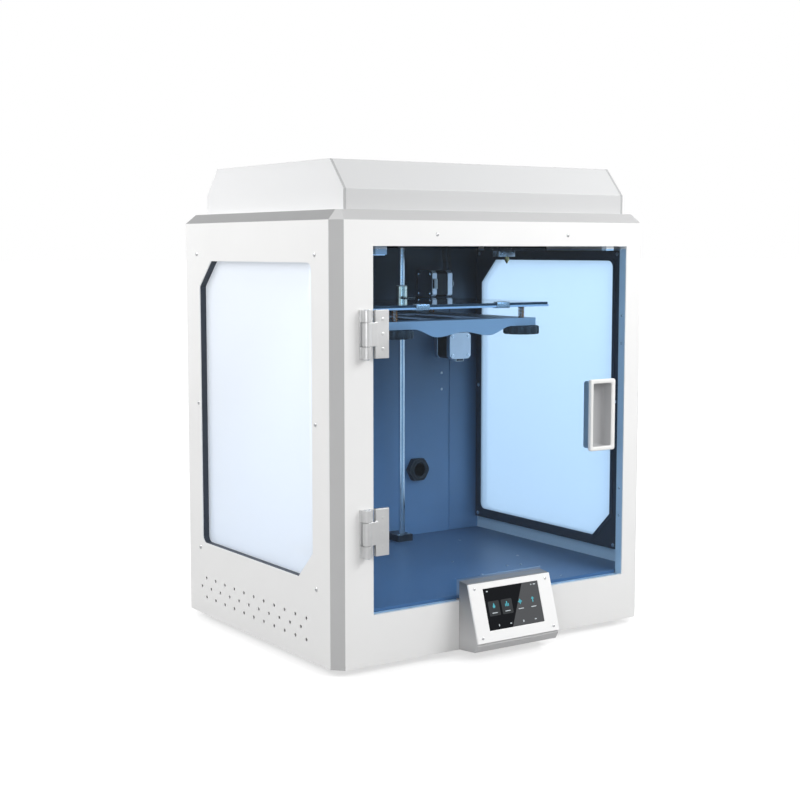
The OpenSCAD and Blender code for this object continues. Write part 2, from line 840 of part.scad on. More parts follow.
module lift_carriage() {
    color("#30353d") {
        difference() {
            union() {
                block([lift_x - 100, lift_x + 100], carriage_y, carriage_z);
                for (s = [-1, 1]) {
                    x = lift_x + s * lift_rods / 2;
                    block([x - 13.5, x + 13.5], [carriage_y[1], 384], [427, carriage_z[1]]);
                }
                block([lift_x - 18, lift_x + 18], [carriage_y[1], 386], [440, carriage_z[1]]);
            }
            for (s = [-1, 1])
                round_z(lift_x + s * lift_rods / 2, rod_y0, [420, 460], bearing_r);
            round_z(lift_x, rod_y0, [430, 460], 5.5);
        }
        // Side gussets that stiffen the bed arm
        for (x = [lift_x - 70, lift_x + 67])
            along_x([x, x + 3]) polygon([[200, support_z], [carriage_y[0], 424], [carriage_y[0], support_z]]);
    }
}

// Two flanged linear bearings and the lift nut
module lift_bearings() {
    color("#c8b060") for (s = [-1, 1]) difference() {
        round_z(lift_x + s * lift_rods / 2, rod_y0, bearing_z, bearing_r);
        round_z(lift_x + s * lift_rods / 2, rod_y0, [420, 490], rod_r + run_fit);
    }
    color("#c8a050") difference() {
        union() {
            round_z(lift_x, rod_y0, [432, carriage_z[1]], 5.5);
            round_z(lift_x, rod_y0, [carriage_z[1], carriage_z[1] + 3.5], 11);
        }
        round_z(lift_x, rod_y0, [430, 460], screw_r8 + run_fit);
    }
}

// Height of the front flange's lower edge, u from its middle: two lobes with a saddle between
function flange_edge(u) =
    let (a = abs(u), flat = 429.5, lobe = 417.5, saddle = 423.6)
    a > 85 ? flat :
    a > 45 ? lobe + (flat - lobe) * (1 - cos(180 * (a - 45) / 40)) / 2 :
    lobe + (saddle - lobe) * (1 + cos(180 * a / 45)) / 2;

module bed_support() {
    x0 = support_x[0];
    x1 = support_x[1];
    top = support_z + support_t;
    t = support_t;
    n = 40;
    color("#9fb4cc") difference() {
        union() {
            block([x0, x1], [90, carriage_y[0]], [support_z, top]);
            along_y([90, 90 + t]) polygon(concat([[x0, top], [x1, top]],
                [for (i = [n:-1:0]) let (x = x0 + (x1 - x0) * i / n) [x, flange_edge(x - flange_mid)]]));
            for (x = [x0, x1 - t]) block([x, x + t], [90, carriage_y[0]], [flange_edge(130), top]);
        }
        // Windows that lighten the plate
        for (x = [[-62, -12], [20, 68]]) block([x[0], x[1]], [130, 300], [support_z - 1, top + 1]);
        for (s = [-1, 1], y = level_y) round_z(lift_x + s * level_x, y, [support_z - 1, top + 1], 2.6);
    }
}

module bed_springs() {
    color("peru") for (s = [-1, 1], y = level_y) difference() {
        round_z(lift_x + s * level_x, y, [support_z + support_t, bed_z], 4.6);
        round_z(lift_x + s * level_x, y, [support_z, bed_z + 1], 3.4);
    }
}

module heated_bed() {
    x = [bed_mid - bed_w / 2, bed_mid + bed_w / 2];
    color("#5b6470") difference() {
        block(x, [bed_front, bed_front + bed_d], [bed_z, bed_z + plate_t]);
        for (s = [-1, 1], y = level_y) round_z(lift_x + s * level_x, y, [bed_z - 1, bed_z + 4], 2.6);
    }
    // Cable shoe under the rear edge
    color("#222") block([bed_mid - 20, bed_mid + 20], [bed_front + bed_d - 30, bed_front + bed_d - 6],
        [bed_z - 7, bed_z]);
}

module glass_plate() {
    w = bed_w / 2 - 1;
    color("lightblue", 0.6) block([bed_mid - w, bed_mid + w], [bed_front + 1, bed_front + bed_d - 1],
        [bed_z + plate_t, bed_z + plate_t + glass_bed_t]);
}

// Spring-steel clips that hold the glass on the plate, two at the front and two at the rear
module bed_clips() {
    t = 1.2;
    top = bed_z + plate_t + glass_bed_t;
    mid_y = bed_front + bed_d / 2;
    color("lightsteelblue") for (s = [-1, 1], m = [0, 1])
        translate([lift_x + s * clip_x - clip_w / 2, mid_y, 0]) mirror([0, m, 0]) translate([0, -mid_y, 0])
            along_x([0, clip_w]) polygon([[bed_front - t, bed_z - t], [bed_front + 9, bed_z - t],
                [bed_front + 9, bed_z], [bed_front, bed_z], [bed_front, top], [bed_front + 7, top],
                [bed_front + 7, top + t], [bed_front - t, top + t]]);
}

// Thumb wheel with its screw, which runs up through the spring into the bed
module knob(x, y) {
    color("#1d2026") translate([x, y, 0]) {
        difference() {
            translate([0, 0, knob_z[0]]) cylinder(r = knob_d / 2, h = knob_z[1] - knob_z[0] - gap);
            for (a = [0:30:359]) rotate([0, 0, a]) translate([knob_d / 2 + 2.5, 0, knob_z[0] - 1])
                cylinder(r = 4.5, h = 20);
        }
        translate([0, 0, knob_z[0]]) cylinder(r = 8, h = support_z - knob_z[0] - gap);
        translate([0, 0, knob_z[0]]) cylinder(r = 2, h = bed_z + 2.5 - knob_z[0]);
    }
}

module knob_front_left() knob(lift_x - level_x, level_y[0]);
module knob_front_right() knob(lift_x + level_x, level_y[0]);
module knob_rear_left() knob(lift_x - level_x, level_y[1]);
module knob_rear_right() knob(lift_x + level_x, level_y[1]);

// ---------------------------------------------------------------- gantry

// Loops of the two Y belts, and of the drive belt up from the Y motor
module y_belts() {
    r = pulley_r + 0.1;
    color("#20242a") {
        both_sides() along_x([belt_x - belt_w / 2, belt_x + belt_w / 2])
            belt_ring([front_idler_y, rail_z], [shaft_y, rail_z], r);
        along_x([drive_x - belt_w / 2, drive_x + belt_w / 2])
            belt_ring([y_motor[1], y_motor[2]], [shaft_y, rail_z], r);
    }
}

// Rear shaft with the two belt pulleys and the driven pulley
module cross_shaft() {
    len = belt_w + 3;
    color("lightsteelblue") {
        round_x([-240, 240], shaft_y, rail_z, rail_r);
        for (x = [-belt_x, belt_x, drive_x])
            translate([x - len / 2, shaft_y, rail_z]) rotate([0, 90, 0]) pulley(len, rail_r - 0.1);
    }
}

module motor_pulley() {
    len = belt_w + 3;
    color("silver") translate([drive_x - len / 2, y_motor[1], y_motor[2]]) rotate([0, 90, 0])
        pulley(len, motor_shaft_r + run_fit);
}

module gantry_blocks() {
    y = [rail_y - 22, rail_y + 22];
    plate = [rail_z + 9, rail_z + 12];
    color("#2b3038") {
        both_sides() difference() {
            union() {
                block([228, 256], y, [rail_z - 12, rail_z + 9]);
                // Jaw under the lower run of the Y belt
                block([217, 228], [rail_y - 6, rail_y + 6], [rail_z - 12, rail_z - 8]);
            }
            round_y(y_rail_x, [y[0] - 1, y[1] + 1], rail_z, rail_r + run_fit);
            for (s = [-1, 1]) round_x([220, 234], rail_y + s * x_rod_half, rail_z, rail_r);
        }
        // Plate for the X motor at the left
        difference() {
            block([-250, x_motor_x + 21], y, plate);
            round_z(x_motor_x, rail_y, [plate[0] - 1, plate[1] + 1], 11.5);
        }
        // Plate and roller for the X belt at the right
        block([x_idler_x - 9, 250], [rail_y - 11, rail_y + 11], plate);
        round_z(x_idler_x, rail_y, [rail_z - 5, plate[0]], 2.5);
        round_z(x_idler_x, rail_y, [rail_z - 3.6, rail_z + 3.6], pulley_r);
        round_z(x_idler_x, rail_y, [rail_z - 5, rail_z - 3.9], flange_r);
    }
}

module x_rods() {
    color("lightsteelblue") for (s = [-1, 1])
        round_x([-234, 234], rail_y + s * x_rod_half, rail_z, rail_r);
}

module x_motor() translate([x_motor_x, rail_y, rail_z + 12]) mirror([0, 0, 1]) stepper(motor_l, 20);

module x_belt() {
    color("#20242a") translate([0, 0, rail_z - belt_w / 2]) linear_extrude(belt_w)
        belt_ring([x_motor_x, rail_y], [x_idler_x, rail_y], pulley_r + 0.1);
}

module x_pulley() {
    len = belt_w + 3;
    color("silver") translate([x_motor_x, rail_y, rail_z - len / 2]) pulley(len, motor_shaft_r + run_fit);
}

// ---------------------------------------------------------------- print head

module head_carriage() {
    x = [head_x - 30, head_x + 30];
    y = [rail_y - 23.5, rail_y + 23.5];
    z = [rail_z - 12, rail_z + 12];
    color("#2b3038") difference() {
        union() {
            block(x, y, z);
            // Arm that grips the neck of the heat sink
            block([nozzle_x - 18, head_x + 22], [nozzle_y - 12, y[0] + 8], [z[1] - 2, z[1] + 6]);
        }
        for (s = [-1, 1]) round_x([x[0] - 1, x[1] + 1], rail_y + s * x_rod_half, rail_z, rail_r + run_fit);
        block([x[0] - 1, x[1] + 1], [rail_y - 8, rail_y + 8], [rail_z - 5, z[1] + 1]);
        round_z(nozzle_x, nozzle_y, [z[1] - 3, z[1] + 7], 6);
    }
}

// Sheet cover in front of the hot end, open at the bottom and rear, with the frame of its fan
module head_shell() {
    x = [head_x - 44, head_x + 44];
    y = [nozzle_y - 26, rail_y - 24.5];
    z = [536.4, 604];
    t = 1.6;
    mid_z = 568;
    color("#262b33") {
        difference() {
            block(x, y, z);
            block([x[0] + t, x[1] - t], [y[0] + t, y[1] + 1], [z[0] - 1, z[1] - t]);
            round_y(head_x, [y[0] - 1, y[0] + 3], mid_z, 18.5);
        }
        difference() {
            block([head_x - 20, head_x + 20], [y[0] - 10, y[0]], [mid_z - 20, mid_z + 20]);
            round_y(head_x, [y[0] - 11, y[0] + 1], mid_z, 18.5);
        }
        block([head_x - 19, head_x + 19], [y[0] - 1.5, y[0]], [mid_z - 1.2, mid_z + 1.2]);
        round_y(head_x, [y[0] - 5, y[0]], mid_z, 1.5);
        // Ears that screw the cover to the carriage
        for (ear = [[x[0] + t, head_x - 26], [head_x + 26, x[1] - t]])
            block(ear, [y[1] - 1, y[1] + 1], [z[0] + 20, z[0] + 34]);
    }
}

module hot_end() {
    color("silver") {
        difference() {
            union() {
                round_z(nozzle_x, nozzle_y, [546, 583], 5);
                for (i = [0:7]) round_z(nozzle_x, nozzle_y, [546 + i * 3.2, 547.4 + i * 3.2], 11);
                round_z(nozzle_x, nozzle_y, [575, 583], 6);
            }
            round_z(nozzle_x, nozzle_y, [570, 584], 2.1);
        }
        round_z(nozzle_x, nozzle_y, [536, 547], 2);
        difference() {
            block([nozzle_x - 20.5, nozzle_x + 9.7], [nozzle_y - 8, nozzle_y + 8], [528, 538]);
            round_y(nozzle_x - 13, [nozzle_y - 9, nozzle_y + 9], 533, 3);
        }
    }
    color("#c8a050") {
        round_z(nozzle_x, nozzle_y, [524, 528], 3.5);
        translate([nozzle_x, nozzle_y, nozzle_z]) rotate_extrude()
            polygon([[0, 0], [0.6, 0], [3.5, 4.5], [3.5, 6.5], [0, 6.5]]);
    }
}

module head_fan() {
    color("#333") translate([head_x, nozzle_y - 26 - 1.8, 568]) mirror([0, 1, 0])
        rotor(17, 9, 7, 1.5 + run_fit);
}

// ---------------------------------------------------------------- hood

// Side outline of the hood as [y, z], drawn in by t on its sloped and upright walls
function hood_outline(t) =
    let (rise = hood_h - hood_wall, a = atan2(rise, hood_slope), k = t * tan(a / 2), m = t * tan((90 - a) / 2))
    [[hood_front + t, hood_seat],
     [hood_front + t, body_h + hood_wall - m], [hood_front + hood_slope + k, body_h + hood_h - t],
     [hood_rear - hood_slope - k, body_h + hood_h - t], [hood_rear - t, body_h + hood_wall - m],
     [hood_rear - t, hood_seat]];

module hood_shell() {
    x = hood_w / 2 - hood_end_t;
    inner = hood_outline(hood_t);
    color("whitesmoke", 0.9) along_x([-x, x]) difference() {
        polygon(hood_outline(0));
        polygon(concat([inner[0] - [0, 1]], [for (i = [1:4]) inner[i]], [inner[5] - [0, 1]]));
    }
}

module hood_ends() {
    color("gainsboro", 0.9) both_sides()
        along_x([hood_w / 2 - hood_end_t, hood_w / 2]) polygon(hood_outline(0));
}

// ---------------------------------------------------------------- parts

placed() base_tray();
placed() feet();
placed() front_panel();
placed() left_panel();
placed() right_panel();
placed() back_wall();
placed() rear_cover();
placed() top_frame();
placed() chamber_floor();
placed() window_gaskets();
placed() window_panes();
placed() panel_screws();
placed() power_supply();
placed() mainboard();
placed() bay_fan_frame();
placed() bay_fan_rotor();
placed() power_inlet();
placed() rocker_switch();
placed() spool_arm();
placed() spool_nut();
placed() feeder_plate();
placed() drive_gear();
placed() idler_lever();
placed() touch_housing();
placed() touch_bezel();
placed() touch_screen();
placed() hinge_frame_leaves();
placed() hinge_pins();
placed() guide_rods();
placed() rod_brackets();
placed() frame_motors();
placed() y_belts();
placed() cross_shaft();
placed() motor_pulley();
placed() door_glass();
placed() hinge_door_leaves();
placed() door_handle();
placed() lead_screw();
placed() lift_carriage();
placed() lift_bearings();
placed() bed_support();
placed() bed_springs();
placed() heated_bed();
placed() glass_plate();
placed() bed_clips();
placed() knob_front_left();
placed() knob_front_right();
placed() knob_rear_left();
placed() knob_rear_right();
placed() gantry_blocks();
placed() x_rods();
placed() x_motor();
placed() x_belt();
placed() x_pulley();
placed() head_carriage();
placed() head_shell();
placed() hot_end();
placed() head_fan();
placed() hood_shell();
placed() hood_ends();
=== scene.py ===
"""Enclosed desktop 3D printer: finishes and detailed pieces round its CAD frame.

Lengths in the shape functions are millimetres counted from the case: x from its middle, y from
its front face, z from its underside. case() turns such points into metres in the row frame.
"""
import json
import math

import bmesh
import bpy
import numpy as np
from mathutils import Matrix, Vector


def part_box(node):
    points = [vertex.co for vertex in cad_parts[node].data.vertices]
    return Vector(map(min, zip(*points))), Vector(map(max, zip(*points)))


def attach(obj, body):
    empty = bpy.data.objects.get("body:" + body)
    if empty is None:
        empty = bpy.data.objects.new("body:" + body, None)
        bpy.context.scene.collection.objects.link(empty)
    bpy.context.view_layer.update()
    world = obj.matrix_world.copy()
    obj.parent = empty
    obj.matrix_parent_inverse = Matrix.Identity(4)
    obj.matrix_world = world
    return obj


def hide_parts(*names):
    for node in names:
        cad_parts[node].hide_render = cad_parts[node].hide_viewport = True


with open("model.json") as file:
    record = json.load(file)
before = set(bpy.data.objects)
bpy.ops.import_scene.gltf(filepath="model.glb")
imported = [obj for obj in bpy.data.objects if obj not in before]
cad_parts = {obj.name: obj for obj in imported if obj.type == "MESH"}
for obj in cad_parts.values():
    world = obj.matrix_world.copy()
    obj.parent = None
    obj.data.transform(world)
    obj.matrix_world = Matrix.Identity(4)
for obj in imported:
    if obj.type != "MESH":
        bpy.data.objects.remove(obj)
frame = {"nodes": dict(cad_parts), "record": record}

MM = 0.001
TAU = 2 * math.pi
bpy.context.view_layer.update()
CASE_FRONT = float(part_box("front_panel")[0][1])
CASE_UNDER = float(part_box("front_panel")[0][2])
RECORD = frame["record"]
SLOT_OF = {part["node"]: part["material_slot"] for part in RECORD["subparts"]}
BODY_OF = {node: body for body, nodes in RECORD["behaviour"]["bodies"].items() for node in nodes}


def case(points):
    """Millimetre points counted from the case as metres in the row frame: (x, front + y, underside + z)."""
    return np.asarray(points, float) * MM + np.array([0.0, CASE_FRONT, CASE_UNDER])


# ---------------------------------------------------------------- camera and light

def add_camera():
    """A 66 mm lens at standing-table height, in front and to the left, turned 34 degrees right and 6 down."""
    data = bpy.data.cameras.new("camera")
    data.lens = 66.24
    data.sensor_width = 36.0
    data.clip_end = 200.0
    eye = bpy.data.objects.new("camera", data)
    eye.location = case((-1230.0, -1565.85, 538.65))
    eye.rotation_euler = (math.radians(84.16), 0.0, math.radians(-34.188))
    bpy.context.collection.objects.link(eye)
    bpy.context.scene.camera = eye


def add_softbox(name, place, target, size, watts):
    """A rectangular area lamp at place that faces target, both in metres."""
    data = bpy.data.lights.new(name, "AREA")
    data.shape = "RECTANGLE"
    data.size, data.size_y = size
    data.energy = watts
    lamp = bpy.data.objects.new(name, data)
    lamp.location = place
    aim = np.array(target, float) - np.array(place, float)
    lamp.rotation_euler = (
        math.atan2(math.hypot(aim[0], aim[1]), -aim[2]),
        0.0,
        math.atan2(aim[1], aim[0]) - math.pi / 2,
    )
    bpy.context.collection.objects.link(lamp)


def lit_by_two(tree, seen, cast, output):
    """Joins two shaders to an output: seen is what a straight look meets, cast is what lights the object."""
    path = tree.nodes.new("ShaderNodeLightPath")
    both = tree.nodes.new("ShaderNodeMixShader")
    tree.links.new(path.outputs["Is Camera Ray"], both.inputs["Fac"])
    tree.links.new(cast.outputs[0], both.inputs[1])
    tree.links.new(seen.outputs[0], both.inputs[2])
    tree.links.new(both.outputs[0], output.inputs["Surface"])


def add_surroundings(light):
    """White surroundings that look full white and light the object at the strength given."""
    world = bpy.data.worlds.new("studio")
    bpy.context.scene.world = world
    world.use_nodes = True
    tree = world.node_tree
    cast = tree.nodes["Background"]
    cast.inputs["Color"].default_value = (1.0, 1.0, 1.0, 1.0)
    cast.inputs["Strength"].default_value = light
    seen = tree.nodes.new("ShaderNodeBackground")
    seen.inputs["Color"].default_value = (1.0, 1.0, 1.0, 1.0)
    seen.inputs["Strength"].default_value = 1.0
    lit_by_two(tree, seen, cast, tree.nodes["World Output"])


def add_floor(half, glow):
    """Pale floor with a faint gloss, which an emission seen only by straight looks lifts by glow."""
    mesh = bpy.data.meshes.new("floor")
    mesh.from_pydata([(-half, -half, 0), (half, -half, 0), (half, half, 0), (-half, half, 0)], [],
                     [(0, 1, 2, 3)])
    floor = bpy.data.objects.new("floor", mesh)
    bpy.context.collection.objects.link(floor)
    material = bpy.data.materials.new("studio_floor")
    material.use_nodes = True
    tree = material.node_tree
    cast = tree.nodes["Principled BSDF"]
    cast.inputs["Base Color"].default_value = (0.44, 0.44, 0.44, 1)
    cast.inputs["Roughness"].default_value = 0.10
    cast.inputs["Specular IOR Level"].default_value = 0.4
    lift = tree.nodes.new("ShaderNodeEmission")
    lift.inputs["Strength"].default_value = glow
    seen = tree.nodes.new("ShaderNodeAddShader")
    tree.links.new(cast.outputs[0], seen.inputs[0])
    tree.links.new(lift.outputs[0], seen.inputs[1])
    lit_by_two(tree, seen, cast, tree.nodes["Material Output"])
    mesh.materials.append(material)


def add_studio():
    """White surroundings, a pale floor and five softboxes, the nearest of them high in front."""
    bpy.context.scene.view_settings.view_transform = "Standard"
    add_surroundings(0.72)
    add_softbox("softbox_front", (0.75, -1.15, 1.15), (0.0, -0.2, 0.4), (0.9, 0.7), 13.0)
    add_softbox("softbox_low", (-1.3, -1.5, 0.75), (0.05, -0.1, 0.3), (0.6, 0.6), 5.0)
    add_softbox("softbox_left", (-1.25, 0.55, 1.05), (-0.26, 0.0, 0.4), (0.8, 0.8), 10.0)
    add_softbox("softbox_right", (1.5, 0.1, 0.8), (0.26, -0.02, 0.33), (1.0, 1.0), 7.5)
    add_softbox("softbox_top", (0.0, 0.2, 3.0), (0.0, 0.0, 0.0), (2.5, 2.5), 10.0)
    add_floor(60.0, 0.64)


# ---------------------------------------------------------------- finishes

class Recipe:
    """A material under construction: its node tree, its Principled shader, and short ways to add nodes."""

    def __init__(self, name):
        self.material = bpy.data.materials.new(name)
        self.material.use_nodes = True
        self.tree = self.material.node_tree
        self.shader = self.tree.nodes["Principled BSDF"]
        self.output = self.tree.nodes["Material Output"]
        self.place = self.add("ShaderNodeTexCoord").outputs["Object"]

    def add(self, kind, **settings):
        """A node of that kind: settings name its properties, or its input sockets with spaces as
        underscores."""
        node = self.tree.nodes.new(kind)
        for key, value in settings.items():
            if hasattr(node, key):
                setattr(node, key, value)
            else:
                socket = node.inputs[key.replace("_", " ")]
                if isinstance(value, bpy.types.NodeSocket):
                    self.tree.links.new(value, socket)
                else:
                    socket.default_value = value
        return node

    def set(self, **values):
        """Plain values or linked outputs for the shader's own sockets."""
        for key, value in values.items():
            socket = self.shader.inputs[key.replace("_", " ")]
            if isinstance(value, bpy.types.NodeSocket):
                self.tree.links.new(value, socket)
            else:
                socket.default_value = value

    def stretched(self, stretch):
        """Object coordinates scaled by stretch, so that a pattern runs along the least scaled axis."""
        return self.add("ShaderNodeMapping", Vector=self.place, Scale=stretch).outputs["Vector"]

    def noise(self, scale, stretch=None, detail=2.0):
        """Cloudy noise from 0 to 1 with cells about 1 / scale metres across."""
        place = self.stretched(stretch) if stretch else self.place
        return self.add("ShaderNodeTexNoise", Vector=place, Scale=scale, Detail=detail).outputs["Fac"]

    def cells(self, scale):
        """Crystal-like cells, each with one grey value."""
        return self.add("ShaderNodeTexVoronoi", Vector=self.place, Scale=scale).outputs["Color"]

    def span(self, value, low, high, start=0.3, end=0.7):
        """value from start to end carried to low to high."""
        node = self.add("ShaderNodeMapRange", Value=value)
        node.inputs["From Min"].default_value = start
        node.inputs["From Max"].default_value = end
        node.inputs["To Min"].default_value = low
        node.inputs["To Max"].default_value = high
        return node.outputs["Result"]

    def tone(self, value, dark, light):
        """dark where value is 0 and light where it is 1; either may be a colour or another node's result."""
        node = self.add("ShaderNodeMix", data_type="RGBA")
        self.tree.links.new(value, node.inputs["Factor"])
        for socket, colour in (("A", dark), ("B", light)):
            if isinstance(colour, bpy.types.NodeSocket):
                self.tree.links.new(colour, node.inputs[socket])
            else:
                node.inputs[socket].default_value = (*colour, 1.0)
        return node.outputs["Result"]

    def bump(self, value, strength, depth):
        """Relief depth metres high that follows value."""
        node = self.add("ShaderNodeBump", Height=value, Strength=strength, Distance=depth)
        return node.outputs["Normal"]


def blend_of(dark, gain):
    """The lighter end of a finish's tone: dark times gain, at most white."""
    return tuple(min(1.0, v * gain) for v in dark)


def coated(name, colour, rough, texture=1500.0, relief=0.25, depth=0.00006, cloud=0.03, sheen_gain=0.0,
           head=None):
    """Powder coat or moulded plastic: orange-peel relief, roughness that follows it, and slow tone clouds.

    head is (tone, low, high): painted shade, the coat blended towards tone from the height low up to the
    height high.
    """
    r = Recipe(name)
    fine = r.noise(texture, detail=1.0)
    slow = r.noise(7.0, detail=3.0)
    tone = r.tone(r.span(slow, 0, 1), colour, blend_of(colour, 1 + cloud))
    # Painted shade: the tone darkens with height, from low up to high.
    if head:
        height = r.add("ShaderNodeSeparateXYZ", Vector=r.place).outputs["Z"]
        tone = r.tone(r.span(height, 0, 1, head[1], head[2]), tone, head[0])
    r.set(
        Base_Color=tone,
        Roughness=r.span(fine, rough - 0.05, rough + 0.05),
        Normal=r.bump(fine, relief, depth),
        Coat_Weight=sheen_gain,
    )
    return r.material


def metal(name, colour, rough, stretch=(1, 1, 1), texture=900.0, relief=0.12, cloud=0.12):
    """Bare or anodised metal: tool marks drawn out along one axis set its roughness, tone and relief."""
    r = Recipe(name)
    marks = r.noise(texture, stretch=stretch, detail=3.0)
    stain = r.noise(22.0, detail=4.0)
    r.set(
        Base_Color=r.tone(r.span(stain, 0, 1), colour, blend_of(colour, 1 + cloud)),
        Metallic=1.0,
        Roughness=r.span(marks, rough - 0.07, rough + 0.07),
        Normal=r.bump(marks, relief, 0.00004),
    )
    return r.material


def zinc_sheet(name):
    """Galvanised sheet: crystals a few millimetres across differ in tone and gloss."""
    r = Recipe(name)
    grey = r.add("ShaderNodeRGBToBW", Color=r.cells(160.0)).outputs["Val"]
    r.set(
        Base_Color=r.tone(grey, (0.52, 0.53, 0.54), (0.70, 0.71, 0.72)),
        Metallic=1.0,
        Roughness=r.span(grey, 0.30, 0.48, 0.0, 1.0),
        Normal=r.bump(r.noise(1200.0), 0.1, 0.00003),
    )
    return r.material


def circuit_board(name):
    """Solder mask over copper: straight lanes, darker where there is no copper, and a gloss coat."""
    r = Recipe(name)
    lanes = r.add("ShaderNodeTexBrick", Vector=r.place, Scale=1.0, Mortar_Size=0.0006)
    lanes.inputs["Brick Width"].default_value = 0.017
    lanes.inputs["Row Height"].default_value = 0.0031
    r.set(
        Base_Color=r.tone(lanes.outputs["Fac"], (0.012, 0.085, 0.045), (0.03, 0.16, 0.085)),
        Roughness=r.span(r.noise(300.0), 0.25, 0.38),
        Normal=r.bump(lanes.outputs["Fac"], 0.3, 0.00004),
        Coat_Weight=0.4,
    )
    return r.material


def see_through(r, tint, gloss, sheen, milk=None, share=0.0, onward=0.5, held=None):
    """Window shader: the tint passes straight through, and the face mirrors
    sheen + (1 - sheen) (1 - cos a)^5.

    With milk, share of the light is scattered instead, and onward of that goes on through the sheet.
    The glow given for the sheet's foot and its head is painted light: an emission that makes the frosted
    sheet shine, though it is no lamp.
    """
    clear = r.add("ShaderNodeBsdfTransparent", Color=(*tint, 1.0))
    mirror = r.add("ShaderNodeBsdfGlossy", Color=(1, 1, 1, 1), Roughness=gloss)
    body = clear.outputs[0]
    if milk:
        back = r.add("ShaderNodeBsdfDiffuse", Color=milk)
        through = r.add("ShaderNodeBsdfTranslucent", Color=milk)
        both = r.add("ShaderNodeMixShader", Fac=onward)
        r.tree.links.new(back.outputs[0], both.inputs[1])
        r.tree.links.new(through.outputs[0], both.inputs[2])
        mixed = r.add("ShaderNodeMixShader", Fac=share)
        r.tree.links.new(clear.outputs[0], mixed.inputs[1])
        r.tree.links.new(both.outputs[0], mixed.inputs[2])
        body = mixed.outputs[0]
    # Painted light: an emission that brightens the sheet from its foot to its head.
    if held:
        foot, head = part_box("window_panes")[0][2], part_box("window_panes")[1][2]
        height = r.add("ShaderNodeSeparateXYZ", Vector=r.place).outputs["Z"]
        lift = r.add("ShaderNodeEmission", Color=milk, Strength=r.span(height, *held, foot, head))
        sum_of = r.add("ShaderNodeAddShader")
        r.tree.links.new(body, sum_of.inputs[0])
        r.tree.links.new(lift.outputs[0], sum_of.inputs[1])
        body = sum_of.outputs[0]
    slant = r.add("ShaderNodeLayerWeight", Blend=0.5).outputs["Facing"]
    steep = r.add("ShaderNodeMath", operation="POWER")
    r.tree.links.new(slant, steep.inputs[0])
    steep.inputs[1].default_value = 5.0
    whole = r.add("ShaderNodeMixShader", Fac=r.span(steep.outputs[0], sheen, 1.0, 0.0, 1.0))
    r.tree.links.new(body, whole.inputs[1])
    r.tree.links.new(mirror.outputs[0], whole.inputs[2])
    r.tree.links.new(whole.outputs[0], r.output.inputs["Surface"])
    r.tree.nodes.remove(r.shader)
    return r.material


def window_finish(name, tint, gloss, sheen, **milky):
    """See-through sheet whose gloss varies faintly, as wiped acrylic or glass does."""
    r = Recipe(name)
    smear = r.noise(9.0, detail=4.0)
    return see_through(r, tint, r.span(smear, gloss, gloss + 0.03), sheen, **milky)


